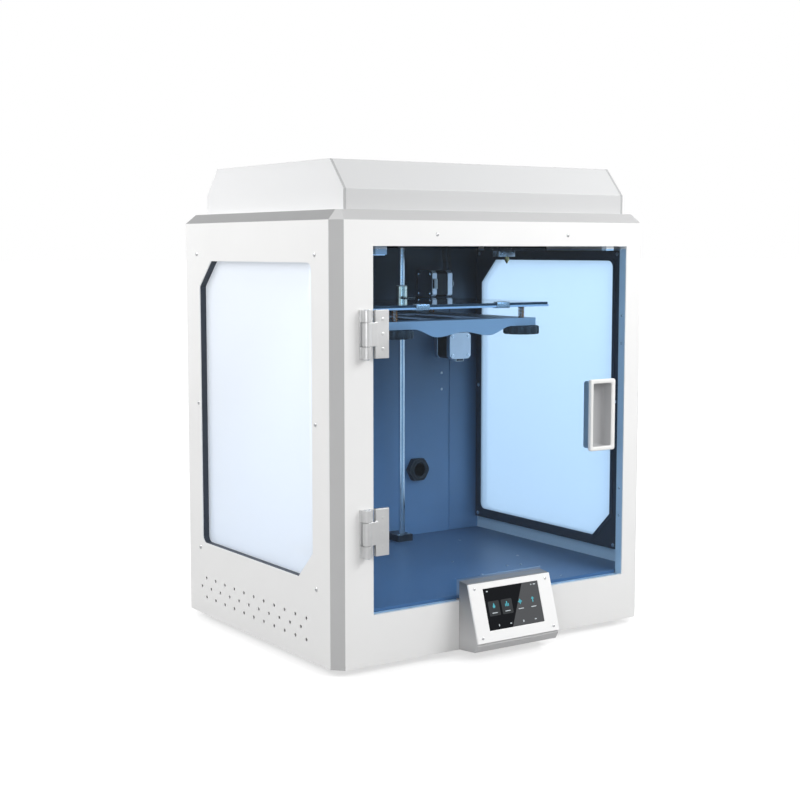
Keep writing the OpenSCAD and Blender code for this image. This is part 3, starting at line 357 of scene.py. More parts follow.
def make_finishes():
    """One material for each slot of the record, and a few for small details."""
    fine = (1.0, 1.0, 1.0)
    return {
        "case_paint": coated("white_powder_coat", (0.80, 0.80, 0.797), 0.42, relief=0.3),
        # Chamber coat with painted shade: it darkens to near black from 0.10 m up to 0.50 m high.
        "inner_paint": coated("chamber_coat_with_painted_shade", (0.27, 0.40, 0.58), 0.45, relief=0.3,
                              head=((0.022, 0.034, 0.05), 0.10, 0.50)),
        "tray_steel": zinc_sheet("zinc_plated_sheet"),
        "foot_rubber": coated("foot_rubber", (0.025, 0.025, 0.027), 0.72, 500.0, 0.5, 0.0002, 0.4),
        "gasket": coated("window_frame_plastic", (0.022, 0.03, 0.045), 0.5, 900.0, 0.4),
        # The frosted panes carry painted light: a glow of 0.13 at their foot rising to 0.24 at their head.
        "window_acrylic": window_finish("frosted_acrylic", (0.97, 0.985, 1.0), 0.06, 0.035,
                                        milk=(0.92, 0.955, 1.0, 1.0), share=0.62, onward=0.5,
                                        held=(0.13, 0.24)),
        "screw_zinc": metal("plated_screw_steel", (0.62, 0.63, 0.64), 0.28),
        "circuit_board": circuit_board("solder_mask"),
        "black_plastic": coated("black_moulding", (0.02, 0.021, 0.024), 0.46, 1100.0, 0.4, cloud=0.3),
        "switch_red": coated("switch_red_moulding", (0.5, 0.02, 0.015), 0.3, 700.0, 0.1),
        "feeder_alloy": metal("feeder_dark_anodised", (0.10, 0.105, 0.115), 0.4),
        "brass": metal("turned_brass", (0.62, 0.45, 0.19), 0.28),
        "lever_red": metal("red_anodised", (0.55, 0.06, 0.02), 0.36),
        "touch_plastic": coated("white_moulding", (0.84, 0.84, 0.84), 0.32, 1600.0, 0.12),
        # Painted shade: a darker copy of the white moulding for the touchscreen housing, darker still with
        # height.
        "touch_shade": coated("white_moulding_painted_shade", (0.56, 0.56, 0.565), 0.36, 1600.0, 0.12,
                              head=((0.13, 0.135, 0.145), 0.025, 0.10)),
        # Painted shade: a darker copy of the chamber coat for the chamber floor.
        "painted_shade_floor": coated("chamber_painted_shade_floor", (0.115, 0.185, 0.29), 0.4, relief=0.3),
        "glass_edge": coated("bed_glass_edge", (0.03, 0.05, 0.07), 0.2, 2000.0, 0.1),
        # Painted highlight: a pale bluish tone on the heated bed's upright edges stands in for the light they
        # catch.
        "plate_edge": coated("bed_edge_painted_highlight", (0.66, 0.74, 0.86), 0.3, 2000.0, 0.1),
        "hood_edge": coated("sawn_sheet_edge", (0.40, 0.405, 0.41), 0.5, 900.0, 0.3),
        # Painted shade: a darker copy of the pull moulding for the pull's pocket.
        "pull_shade": coated("pull_pocket_painted_shade", (0.44, 0.445, 0.455), 0.36, 1600.0, 0.15),
        "bearing_steel": metal("bearing_steel", (0.74, 0.73, 0.62), 0.14, (1, 1, 0.1)),
        "screen": screen_glass_painted_reflection("screen_glass_painted_reflection"),
        "hinge_alloy": metal("hinge_satin_alloy", (0.70, 0.705, 0.71), 0.38, (1, 1, 0.04), 1500.0),
        "rod_steel": metal("ground_rod_steel", (0.72, 0.74, 0.76), 0.16, fine, 2500.0, 0.05),
        "bracket_alloy": metal("bracket_dark_anodised", (0.07, 0.078, 0.09), 0.42),
        "motor": metal("motor_end_cap", (0.55, 0.57, 0.60), 0.36),
        "belt": coated("belt_rubber", (0.02, 0.021, 0.023), 0.62, 2200.0, 0.5, cloud=0.3),
        "door_glass": window_finish("tinted_door_glass", (0.765, 0.893, 1.0), 0.0, 0.012),
        "pull_plastic": coated("pull_moulding", (0.80, 0.80, 0.79), 0.34, 1600.0, 0.15),
        "support_paint": coated("support_satin_coat", (0.42, 0.46, 0.52), 0.38, 1800.0, 0.2),
        "spring_copper": metal("coppered_spring_wire", (0.42, 0.17, 0.07), 0.42),
        "bed_alloy": metal("bed_dark_anodised", (0.13, 0.15, 0.18), 0.4),
        "bed_glass": window_finish("build_plate_glass", (0.86, 0.93, 0.97), 0.0, 0.04),
        "clip_steel": metal("spring_steel_clip", (0.62, 0.64, 0.66), 0.24),
        "hot_alloy": metal("milled_alloy", (0.60, 0.61, 0.62), 0.3, (1, 1, 0.1)),
        "hood_acrylic": window_finish("frosted_hood_end", (1.0, 1.0, 1.0), 0.16, 0.03,
                                      milk=(0.90, 0.905, 0.91, 1.0), share=0.96, onward=0.18),
        # Painted shade: a darker copy of the hood's frosted acrylic for the hood shell.
        "hood_sheet_painted_shade": window_finish("frosted_hood_painted_shade", (1.0, 1.0, 1.0), 0.16, 0.03,
                                         milk=(0.70, 0.705, 0.71, 1.0), share=0.96, onward=0.18),
        "lamination": metal("motor_laminations", (0.06, 0.062, 0.066), 0.5, (1, 1, 30)),
        # Grey chamfer trim: two-tone paint, with its tone set by facing as painted light and shade; the
        # slopes above the side walls take the darkest, painted shade.
        "trim_corner": coated("grey_coat_corner_painted_light", (0.51, 0.512, 0.515), 0.42, relief=0.3),
        "trim_grey": coated("grey_powder_coat", (0.45, 0.452, 0.455), 0.42, relief=0.3),
        "trim_shade": coated("grey_coat_side_painted_shade", (0.28, 0.282, 0.285), 0.42, relief=0.3),
        "white_nylon": coated("white_nylon", (0.74, 0.73, 0.70), 0.45, 900.0, 0.2),
    }


def screen_glass_painted_reflection(name):
    """Black cover glass with a painted reflection: beyond a slanted line its tone and a faint glow are lifted
    to stand in for glare, with faint smears in its gloss."""
    r = Recipe(name)
    low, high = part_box("touch_screen")
    place = r.add("ShaderNodeSeparateXYZ", Vector=r.place)
    across = r.span(place.outputs["X"], 0, 1, low[0], high[0])
    up = r.span(place.outputs["Z"], 0, 0.30, low[2], high[2])
    slant = r.add("ShaderNodeMath", operation="SUBTRACT")
    r.tree.links.new(across, slant.inputs[0])
    r.tree.links.new(up, slant.inputs[1])
    # Painted reflection: past the slanted line the glass turns lighter and glows faintly, as glare.
    side = r.span(slant.outputs[0], 0, 1, 0.407, 0.413)
    r.set(
        Base_Color=r.tone(side, (0.005, 0.006, 0.008), (0.055, 0.057, 0.06)),
        Emission_Color=r.tone(side, (0.0, 0.0, 0.0), (0.03, 0.031, 0.033)),
        Emission_Strength=1.0,
        Roughness=r.span(r.noise(30.0, detail=4.0), 0.05, 0.12),
        Specular_IOR_Level=0.12,
    )
    return r.material


# ---------------------------------------------------------------- softened CAD copies

def by_slant(face):
    """0 on walls; 45-degree faces give 1 between two walls, 2 above a front or back wall and 3 above a
    side wall."""
    x, y, z = (abs(v) for v in face.normal)
    if not 0.45 < sorted((x, y, z))[1] < 0.8:
        return 0
    if min(x, y) > 0.3:
        return 1
    return 2 if y > 0.3 else 3


def by_edge(face):
    """1 on the upright edge faces of a level plate."""
    return int(abs(face.normal.z) < 0.3)


def by_rim(face):
    """1 on the rim of a plate that stands across the machine."""
    return int(abs(face.normal.x) < 0.5)


def softened(node, finishes, width=0.4, pick=None, angle=30.0, segments=2):
    """A copy of a CAD node with its doubles merged, its flat faces joined and its edges rounded by a bevel.

    pick says which of the finishes each face takes.
    """
    mesh = frame["nodes"][node].data.copy()
    mesh.name = node + "_finished"
    built = bmesh.new()
    built.from_mesh(mesh)
    bmesh.ops.remove_doubles(built, verts=built.verts, dist=2e-6)
    bmesh.ops.dissolve_limit(
        built, angle_limit=math.radians(0.6), verts=built.verts, edges=built.edges,
                             use_dissolve_boundaries=False
    )
    built.to_mesh(mesh)
    built.free()
    mesh.materials.clear()
    for finish in finishes:
        mesh.materials.append(finish)
    if pick:
        for face in mesh.polygons:
            face.material_index = pick(face)
    made = bpy.data.objects.new(node + "_finished", mesh)
    bpy.context.collection.objects.link(made)
    bevel = made.modifiers.new("edge_radius", "BEVEL")
    bevel.width = width * MM
    bevel.segments = segments
    bevel.limit_method = "ANGLE"
    bevel.angle_limit = math.radians(angle)
    bevel.harden_normals = True
    smooth_by_angle(mesh, angle)
    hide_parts(node)
    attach(made, BODY_OF[node])
    return made


def smooth_by_angle(mesh, angle):
    """Smooth shading, with edges sharper than angle degrees kept hard."""
    mesh.shade_smooth()
    built = bmesh.new()
    built.from_mesh(mesh)
    limit = math.radians(angle)
    for edge in built.edges:
        edge.smooth = len(edge.link_faces) == 2 and edge.calc_face_angle(0.0) < limit
    built.to_mesh(mesh)
    built.free()


# ---------------------------------------------------------------- shapes
# A shape is (points, faces): an N x 3 array in case millimetres and a list of index tuples.

TURN = {"z": ((1, 0, 0), (0, 1, 0), (0, 0, 1)), "x": ((0, 0, 1), (1, 0, 0), (0, 1, 0)),
        "y": ((0, 1, 0), (0, 0, 1), (1, 0, 0))}


def stood(points, centre, axis):
    """Points drawn round +Z, turned so that +Z runs along axis (-x, -y and -z too), then moved to centre."""
    points = np.asarray(points, float)
    if axis[0] == "-":
        points = points * np.array([1.0, -1.0, -1.0])
    return points @ np.array(TURN[axis[-1]], float).T + np.asarray(centre, float)


def woven(rows, columns, wrap_rows=False, wrap_columns=False):
    """Quads between the neighbours of a rows x columns grid, joined round where it wraps."""
    i = np.arange(rows if wrap_rows else rows - 1)[:, None]
    j = np.arange(columns if wrap_columns else columns - 1)[None, :]
    i2 = (i + 1) % rows
    j2 = (j + 1) % columns
    quads = np.stack([i * columns + j, i2 * columns + j, i2 * columns + j2, i * columns + j2], axis=-1)
    return quads.reshape(-1, 4)


def joined(shapes):
    """Several shapes as one, with the faces of each counted on from the last."""
    points, faces, start = [], [], 0
    for p, f in shapes:
        points.append(np.asarray(p, float))
        faces.extend(tuple(int(k) + start for k in face) for face in f)
        start += len(p)
    return np.concatenate(points), faces


def turned(profile, centre, axis="z", sides=40, carve=None, ring=False):
    """A lathe shape: (r cos a, r sin a, h) for each profile point (r, h) and angle a.

    The profile runs from the bottom outwards, up and back in. carve(r, h, a) may change r.
    ring joins the last profile point to the first, for a shape with a bore.
    """
    a = (np.arange(sides) / sides * TAU)[:, None]
    r, h = (np.array([p[k] for p in profile], float)[None, :] for k in (0, 1))
    radius = carve(r, h, a) if carve else r + 0 * a
    points = np.stack([radius * np.cos(a), radius * np.sin(a), h + 0 * a], axis=-1).reshape(-1, 3)
    return stood(points, centre, axis), woven(sides, len(profile), True, ring)


def outline(half_x, half_y, corner, n=4):
    """A rounded rectangle: each corner's centre plus corner times (cos t, sin t), t over its quarter turn."""
    t = np.linspace(0, math.pi / 2, n + 1)[None, :] + np.arange(4)[:, None] * math.pi / 2
    sx = np.array([1, -1, -1, 1])[:, None]
    sy = np.array([1, 1, -1, -1])[:, None]
    x = sx * (half_x - corner) + corner * np.cos(t)
    y = sy * (half_y - corner) + corner * np.sin(t)
    return np.stack([x.ravel(), y.ravel()], axis=-1)


def lofted(rings, centre, axis="z", n=4, ring=False):
    """Rounded rectangles (half x, half y, corner, height, shift x, shift y) joined in order,
    then closed by flat ends.

    ring joins the last outline to the first instead, for a shape with a hole through it.
    """
    layers = []
    for item in rings:
        half_x, half_y, corner, height, *shift = item
        flat = outline(half_x, half_y, max(corner, 1e-4), n) + np.array(shift or (0, 0))
        layers.append(np.column_stack([flat, np.full(len(flat), height)]))
    columns = len(layers[0])
    quads = woven(len(layers), columns, ring, True)[:, ::-1]
    faces = [tuple(q) for q in quads]
    if not ring:
        faces.append(tuple(range(columns))[::-1])
        faces.append(tuple(range((len(layers) - 1) * columns, len(layers) * columns)))
    return stood(np.concatenate(layers), centre, axis), faces


def slab(lo, hi, corner=1.0, edge=0.4, axis="z", n=3):
    """A block from lo to hi whose upright corners and top and bottom edges are rounded.

    The outline draws in by edge * (1 - sin t) while it rises by edge * (1 - cos t), t from 0 to 90 degrees.
    """
    lo, hi = np.asarray(lo, float), np.asarray(hi, float)
    order = {"z": (0, 1, 2), "x": (1, 2, 0), "y": (2, 0, 1)}[axis[-1]]
    half = ((hi - lo) / 2)[list(order)]
    edge = min(edge, *half)
    corner = min(max(corner, edge), half[0], half[1])
    t = np.linspace(0, math.pi / 2, n)
    draw, rise = edge * (1 - np.sin(t)), edge * (1 - np.cos(t))
    rings = [(half[0] - d, half[1] - d, corner - d, -half[2] + r) for d, r in zip(draw, rise)]
    rings += [(half[0] - d, half[1] - d, corner - d, half[2] - r) for d, r in zip(draw[::-1], rise[::-1])]
    return lofted(rings, (lo + hi) / 2, axis, n)


def swept(path, section, side, closed=False):
    """A section carried along a path: path + u * side + v * up, where up is the path's direction crossed
    with side."""
    path = np.asarray(path, float)
    side = np.broadcast_to(np.asarray(side, float), path.shape)
    ahead = np.roll(path, -1, axis=0) - np.roll(path, 1, axis=0)
    if not closed:
        ahead[0], ahead[-1] = path[1] - path[0], path[-1] - path[-2]
    ahead /= np.linalg.norm(ahead, axis=1, keepdims=True)
    side = side - (side * ahead).sum(1, keepdims=True) * ahead
    side = side / np.linalg.norm(side, axis=1, keepdims=True)
    up = np.cross(ahead, side)
    section = np.asarray(section, float)
    if section.ndim == 2:
        section = np.broadcast_to(section, (len(path), *section.shape))
    points = path[:, None] + section[..., :1] * side[:, None] + section[..., 1:] * up[:, None]
    rows, columns = len(path), section.shape[1]
    faces = [tuple(q) for q in woven(rows, columns, closed, True)[:, ::-1]]
    if not closed:
        faces.append(tuple(range(columns))[::-1])
        faces.append(tuple(range((rows - 1) * columns, rows * columns)))
    return points.reshape(-1, 3), faces


def disc(radius, n=8):
    """A round section: radius times (cos t, sin t)."""
    t = np.arange(n) / n * TAU
    return np.stack([radius * np.cos(t), radius * np.sin(t)], axis=-1)


def wire(path, radius, side=(0, 0, 1), n=8, closed=False):
    """A round wire along a path."""
    return swept(path, disc(radius, n), side, closed)


def mirrored(shape):
    """The same shape on the machine's other side: x changes sign and the faces are read backwards."""
    points, faces = shape
    return points * np.array([-1.0, 1.0, 1.0]), [tuple(f)[::-1] for f in faces]


def moved(shape, shift):
    """The shape moved by shift."""
    return shape[0] + np.asarray(shift, float), shape[1]


def dome(r, h, n=4):
    """Profile of a button: radius r cos t, height h sin t."""
    t = np.linspace(0, math.pi / 2, n)
    return [(r * math.cos(v), h * math.sin(v)) for v in t]


def button_screw(centre, axis, head=3.0, height=1.2, sunk=0.4):
    """A button-head screw: a domed head with a hexagonal socket, whose radius is a / cos of the angle to
    its flat."""
    socket = head * 0.42

    def six_sided(r, h, a):
        """Turns the socket's round wall into six flats: radius 0.87 socket / cos(angle to the nearest
        flat)."""
        near = (a + math.pi / 6) % (math.pi / 3) - math.pi / 6
        flat = socket * 0.87 / np.cos(near)
        return np.where(np.abs(r - socket) < 1e-6, flat, r + 0 * a)

    profile = [(0, -sunk), (head, -sunk)] + [(head, 0.15)]
    profile += [(r, h) for r, h in dome(head, height) if r > socket * 1.25 and h > 0.2]
    profile += [(socket * 1.15, height * 0.92), (socket, height * 0.9), (socket, height * 0.25),
                (0, height * 0.2)]
    return turned(profile, centre, axis, 24, six_sided)


def piece(name, groups, node=None, body=None, smooth=35.0):
    """One object from (shapes, material) pairs. It stands for node where one is given, and rides on its
    body."""
    mesh = bpy.data.meshes.new(name)
    points, faces, owners, start = [], [], [], 0
    for k, (shapes, finish) in enumerate(groups):
        p, f = joined(shapes)
        points.append(case(p))
        faces.extend(tuple(i + start for i in face) for face in f)
        owners.extend([k] * len(f))
        start += len(p)
        mesh.materials.append(finish)
    mesh.from_pydata(np.concatenate(points), [], faces)
    mesh.polygons.foreach_set("material_index", owners)
    built = bmesh.new()
    built.from_mesh(mesh)
    bmesh.ops.remove_doubles(built, verts=built.verts, dist=1e-6)
    built.to_mesh(mesh)
    built.free()
    made = bpy.data.objects.new(name, mesh)
    bpy.context.collection.objects.link(made)
    smooth_by_angle(mesh, smooth)
    node_list = [node] if isinstance(node, str) else list(node or ())
    if node_list:
        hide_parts(*node_list)
    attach(made, body or BODY_OF[node_list[0]])
    return made


# ---------------------------------------------------------------- lift and bed

LIFT_X = 4.0
ROD_Y = 370.0
RAIL_Z = 565.0
RAIL_Y = 196.0


def add_rods():
    """Ground rods with chamfered ends: two for the lift, two along Y, two along X."""
    def rod(centre, axis, length, r):
        """A cylinder with a 0.8 mm chamfer at each end."""
        return turned([(0, 0), (r - 0.8, 0), (r, 0.8), (r, length - 0.8), (r - 0.8, length), (0, length)],
                      centre, axis, 40)

    lift = [rod((LIFT_X + s * 84.4, ROD_Y, 71.5), "z", 474.5, 5) for s in (-1, 1)]
    rails = [rod((s * 243, 20, RAIL_Z), "y", 362, 4) for s in (-1, 1)]
    piece("ground_guide_rods", [(lift + rails, FINISH["rod_steel"])], "guide_rods")
    across = [rod((-234, RAIL_Y + s * 15, RAIL_Z), "x", 468, 4) for s in (-1, 1)]
    piece("ground_cross_rods", [(across, FINISH["rod_steel"])], "x_rods")


def add_lead_screw():
    """Four-start thread: the radius drops by 0.9 mm where the fraction of
    h / 2 - 4 a / turn is in its groove.

    Below it stands the clamping coupling with its slit rings.
    """
    def thread(r, h, a):
        """Radius r less 0.9 mm of groove, between the heights 101 and 543."""
        phase = (h / 2.0 - 4.0 * a / TAU) % 1.0
        groove = np.clip(2.6 * np.abs(phase - 0.5) * 2 - 1.2, 0, 1)
        cut = np.where((h > 101) & (h < 543), 0.9 * groove, 0.0)
        return np.where(r > 3.5, r - cut, r)

    heights = np.arange(99.0, 545.0, 1 / 3)
    shaft = [(0, 99.0)] + [(4.0, h) for h in heights] + [(3.4, 545.0), (0, 545.0)]
    screw = turned(shaft, (LIFT_X, ROD_Y, 0), "z", 20, thread)
    bands = [(2.55, 0), (9.0, 0), (9.5, 0.5)]
    for k in range(3):
        h = 6.0 + 5.5 * k
        bands += [(9.5, h), (8.2, h + 0.15), (8.2, h + 0.75), (9.5, h + 0.9)]
    bands += [(9.5, 24.5), (9.0, 25), (4.0, 25), (4.0, 11), (2.55, 10)]
    coupling = turned(bands, (LIFT_X, ROD_Y, 74), "z", 48, ring=True)
    clamps = [button_screw((LIFT_X + 5.4, ROD_Y - 7.6, z), "-y", 1.6, 0.7) for z in (77.2, 95.8)]
    piece("threaded_lead_screw", [([screw], FINISH["rod_steel"]),
                                  ([coupling] + clamps, FINISH["hot_alloy"])], "lead_screw")


def add_springs():
    """Helix: (r cos a, r sin a, rise) with its first and last turn flat, r 4 mm, wire 1.2 mm."""
    turns = 8.5
    s = np.linspace(0, 1, 150)
    a = s * turns * TAU
    flat = 1.2 / turns
    rise = np.clip((s - flat / 2) / (1 - flat), 0, 1)
    z = 441.1 + rise * (455.9 - 441.1)
    radial = np.stack([np.cos(a), np.sin(a), 0 * a], axis=-1)
    path = 4.0 * radial + np.stack([0 * a, 0 * a, z], axis=-1)
    coil = wire(path, 0.6, radial)
    coils = [moved(coil, (LIFT_X + s * 110.5, y, 0)) for s in (-1, 1) for y in (101, 325)]
    piece("levelling_springs", [(coils, FINISH["spring_copper"])], "bed_springs")


def scalloped(r, h, a):
    """Rim cut by 12 circles of radius 4.5 mm whose centres lie 28.5 mm out, all round a 26 mm wheel."""
    near = (a + math.pi / 12) % (math.pi / 6) - math.pi / 12
    inside = np.clip(4.5**2 - (28.5 * np.sin(near)) ** 2, 0, None)
    limit = np.where(inside > 0, 28.5 * np.cos(near) - np.sqrt(inside), 26.0)
    cut = 26.0 - np.minimum(limit, 26.0)
    return np.where(r > 21.5, r - cut * np.clip((r - 21.5) / 2.5, 0, 1), r)


def add_knobs():
    """Levelling wheels with a scalloped rim, a dished top, a hub, and the screw that runs up into the bed."""
    names = {("left", "front"): (-1, 101), ("right", "front"): (1, 101), ("left", "rear"): (-1, 325),
             ("right", "rear"): (1, 325)}
    for (side, end), (s, y) in names.items():
        centre = (LIFT_X + s * 110.5, y, 0)
        rim = [(0, 418.2), (5, 418.2), (5.6, 417), (22.8, 417), (24.6, 417.2), (25.6, 418), (26, 419.2),
               (26, 427),
               (25.6, 428.4), (24.6, 429.1), (22.6, 429.2), (21.4, 428.9), (20.6, 427.6), (10.5, 427.0),
               (8.6, 427.6), (8, 429), (8, 437.2), (7.6, 437.6), (0, 437.6)]
        wheel = turned(rim, centre, "z", 144, scalloped)
        screw = turned([(0, 417.6), (3.6, 417.6), (3.6, 418.6), (2, 418.8), (2, 458.6), (1.6, 459),
                        (0, 459)], centre, "z", 24)
        groups = [([wheel], FINISH["black_plastic"]), ([screw], FINISH["screw_zinc"])]
        piece(f"levelling_wheel_{end}_{side}", groups, f"knob_{end}_{side}")


def add_bearings():
    """Linear bearings with a white seal at each end and two ring grooves, and the flanged lift nut with
    four screws."""
    shells, seals = [], []
    for s in (-1, 1):
        centre = (LIFT_X + s * 84.4, ROD_Y, 0)
        body = [(5.1, 428), (9.0, 428), (9.5, 428.6), (9.5, 434), (9.1, 434.3), (9.1, 435.3), (9.5, 435.6),
                (9.5, 474), (9.1, 474.3), (9.1, 475.3), (9.5, 475.6), (9.5, 480.4), (9.0, 481), (5.1, 481)]
        shells.append(turned(body, centre, "z", 48, ring=True))
        for low, high in ((427, 428.4), (480.6, 482)):
            seals.append(turned([(5.06, low), (8.4, low), (8.4, high), (5.06, high)], centre, "z", 48,
                                ring=True))
    nut = [(4.1, 432), (5.2, 432), (5.5, 432.4), (5.5, 452.2), (10.6, 452.2), (11, 452.6), (11, 455),
           (10.6, 455.5), (4.1, 455.5)]
    collar = turned(nut, (LIFT_X, ROD_Y, 0), "z", 48, ring=True)
    bolts = [button_screw((LIFT_X + 8 * math.cos(t), ROD_Y + 8 * math.sin(t), 455.3), "z", 1.7, 0.9)
             for t in np.arange(4) * math.pi / 2 + math.pi / 4]
    groups = [(shells, FINISH["bearing_steel"]), ([collar], FINISH["brass"]),
              (seals, FINISH["white_nylon"]), (bolts, FINISH["screw_zinc"])]
    piece("lift_bearings_and_nut", groups, "lift_bearings")


def add_clips():
    """Spring-steel strips bent round the bed's edge: a C-shaped centre line with 0.8 mm bends and a
    lifted tip."""
    top, under = 462.8 + 0.6, 456.5 - 0.6
    t = np.linspace(0, math.pi / 2, 5)
    line = [(9.0, under), (0.4, under)]
    line += [(0.2 - 0.8 * math.sin(v), under + 0.8 - 0.8 * math.cos(v)) for v in t]
    line += [(0.2 - 0.8 * math.cos(v), top - 0.8 + 0.8 * math.sin(v)) for v in t]
    line += [(5.2, top), (6.2, top + 0.12), (7.0, top + 0.5)]
    line = np.array(line)
    clips = []
    for s in (-1, 1):
        for front, sign in ((92.0, 1), (335.0, -1)):
            path = np.column_stack([np.full(len(line), LIFT_X + s * 70.0), front + sign * line[:, 0],
                                    line[:, 1]])
            section = outline(11.5, 0.55, 0.25, 2)
            clips.append(swept(path, section, (1, 0, 0)))
    piece("bed_spring_clips", [(clips, FINISH["clip_steel"])], "bed_clips")


def add_bed_details():
    """Countersunk bed screws and flange screws."""
    screws = [turned([(0, 0), (2.4, 0), (2.4, 0.12), (1.5, 0.12), (1.3, 0.02), (0, 0.02)],
                     (LIFT_X + s * 110.5, y, 459.25), "z", 20)
              for s in (-1, 1) for y in (101, 325)]
    piece("bed_corner_screws", [(screws, FINISH["screw_zinc"])], None, "lift")
    joints = [button_screw((x, 351.0, z), "-y", 2.4, 1.4) for x in (-88, -40, 48, 96) for z in (446.5,)]
    piece("carriage_screws", [(joints, FINISH["screw_zinc"])], None, "lift")


# ---------------------------------------------------------------- belts and pulleys

def loop_path(a, b, r, step):
    """A stadium round a and b, counter-clockwise, as points a step apart: first run, half turn, second
    run, half turn."""
    a, b = np.array(a, float), np.array(b, float)
    run = np.linalg.norm(b - a)
    along = (b - a) / run
    out = np.array([along[1], -along[0]])
    total = 2 * run + TAU * r
    count = int(round(total / step))
    s = np.arange(count) * total / count
    half = math.pi * r
    t1 = np.clip((s - run) / r, 0, math.pi)
    t2 = np.clip((s - 2 * run - half) / r, 0, math.pi)
    first = s < run
    second = (s >= run) & (s < run + half)
    third = (s >= run + half) & (s < 2 * run + half)
    centre = np.where((first | second)[:, None], a + along * np.where(first, s, run)[:, None],
                      b - along * np.where(third, s - run - half, run)[:, None])
    angle = np.where(first, 0, np.where(second, t1, np.where(third, math.pi, math.pi + t2)))
    normal = out * np.cos(angle)[:, None] + along * np.sin(angle)[:, None]
    return centre, normal, s, r


def toothed_belt(a, b, place, wide=6.0, pitch=2.0):
    """A belt loop: offset 0 to 0.62 mm outside the line, with teeth that reach 0.72 mm inwards once every
    pitch."""
    steps = 4
    centre, normal, s, r = loop_path(a, b, 6.75, pitch / steps)
    tooth = np.array([0.0, 0.72, 0.72, 0.0])[np.arange(len(s)) % steps]
    mid = centre + normal * r
    rows = []
    for across, offset in ((-1, -tooth), (1, -tooth), (1, 0 * tooth + 0.62), (-1, 0 * tooth + 0.62)):
        flat = mid + normal * offset[:, None]
        rows.append(place(flat, across * wide / 2))
    points = np.stack(rows, axis=1).reshape(-1, 3)
    return points, [tuple(q) for q in woven(len(s), 4, True, True)[:, ::-1]]


def on_x(x):
    """Places flat (y, z) points at that x, set off along X."""
    return lambda flat, off: np.column_stack([np.full(len(flat), x + off), flat])


def on_z(z):
    """Places flat (x, y) points at that z, set off along Z."""
    return lambda flat, off: np.column_stack([flat, np.full(len(flat), z + off)])


def toothed(r, h, a):
    """20 teeth: the radius drops from 5.9 to 5.25 mm in the gaps."""
    wave = np.clip(1.6 * np.cos(20 * a) + 0.3, 0, 1)
    return np.where(np.abs(r - 5.9) < 0.02, 5.25 + 0.65 * wave, r)


def pulley(centre, axis, bore):
    """A 20-tooth pulley, 9 mm long between its two flanges, with a bore."""
    line = [(bore, 0), (7.2, 0), (7.5, 0.3), (7.5, 0.8), (7.2, 1.0), (5.9, 1.02), (5.9, 7.98), (7.2, 8.0),
            (7.5, 8.2), (7.5, 8.7),
            (7.2, 9), (bore, 9)]
    return turned(line, centre, axis, 80, toothed, ring=True)


def add_belts():
    """Three Y-side loops and the X loop, all with 2 mm teeth."""
    loops = [toothed_belt((16, RAIL_Z), (388, RAIL_Z), on_x(s * 221)) for s in (-1, 1)]
    loops.append(toothed_belt((376, 484), (388, RAIL_Z), on_x(185)))
    piece("toothed_y_belts", [(loops, FINISH["belt"])], "y_belts")
    piece("toothed_x_belt", [([toothed_belt((-206, RAIL_Y), (208, RAIL_Y), on_z(RAIL_Z))], FINISH["belt"])],
          "x_belt")


def add_pulleys():
    """The rear shaft with its three pulleys, and the pulleys on the Y and X motors' shafts."""
    shaft = turned([(0, -240), (3.4, -240), (4, -239.4), (4, 239.4), (3.4, 240), (0, 240)],
                   (0, 388, RAIL_Z), "x", 32)
    wheels = [pulley((x - 4.5, 388, RAIL_Z), "x", 3.9) for x in (-221, 221, 185)]
    piece("rear_shaft_and_pulleys", [([shaft], FINISH["rod_steel"]), (wheels, FINISH["hot_alloy"])],
          "cross_shaft")
    piece("toothed_motor_pulley", [([pulley((180.5, 376, 484), "x", 2.55)], FINISH["hot_alloy"])],
          "motor_pulley")
    piece("toothed_x_pulley", [([pulley((-206, RAIL_Y, 560.5), "z", 2.55)], FINISH["hot_alloy"])], "x_pulley")


# ---------------------------------------------------------------- motors and fans

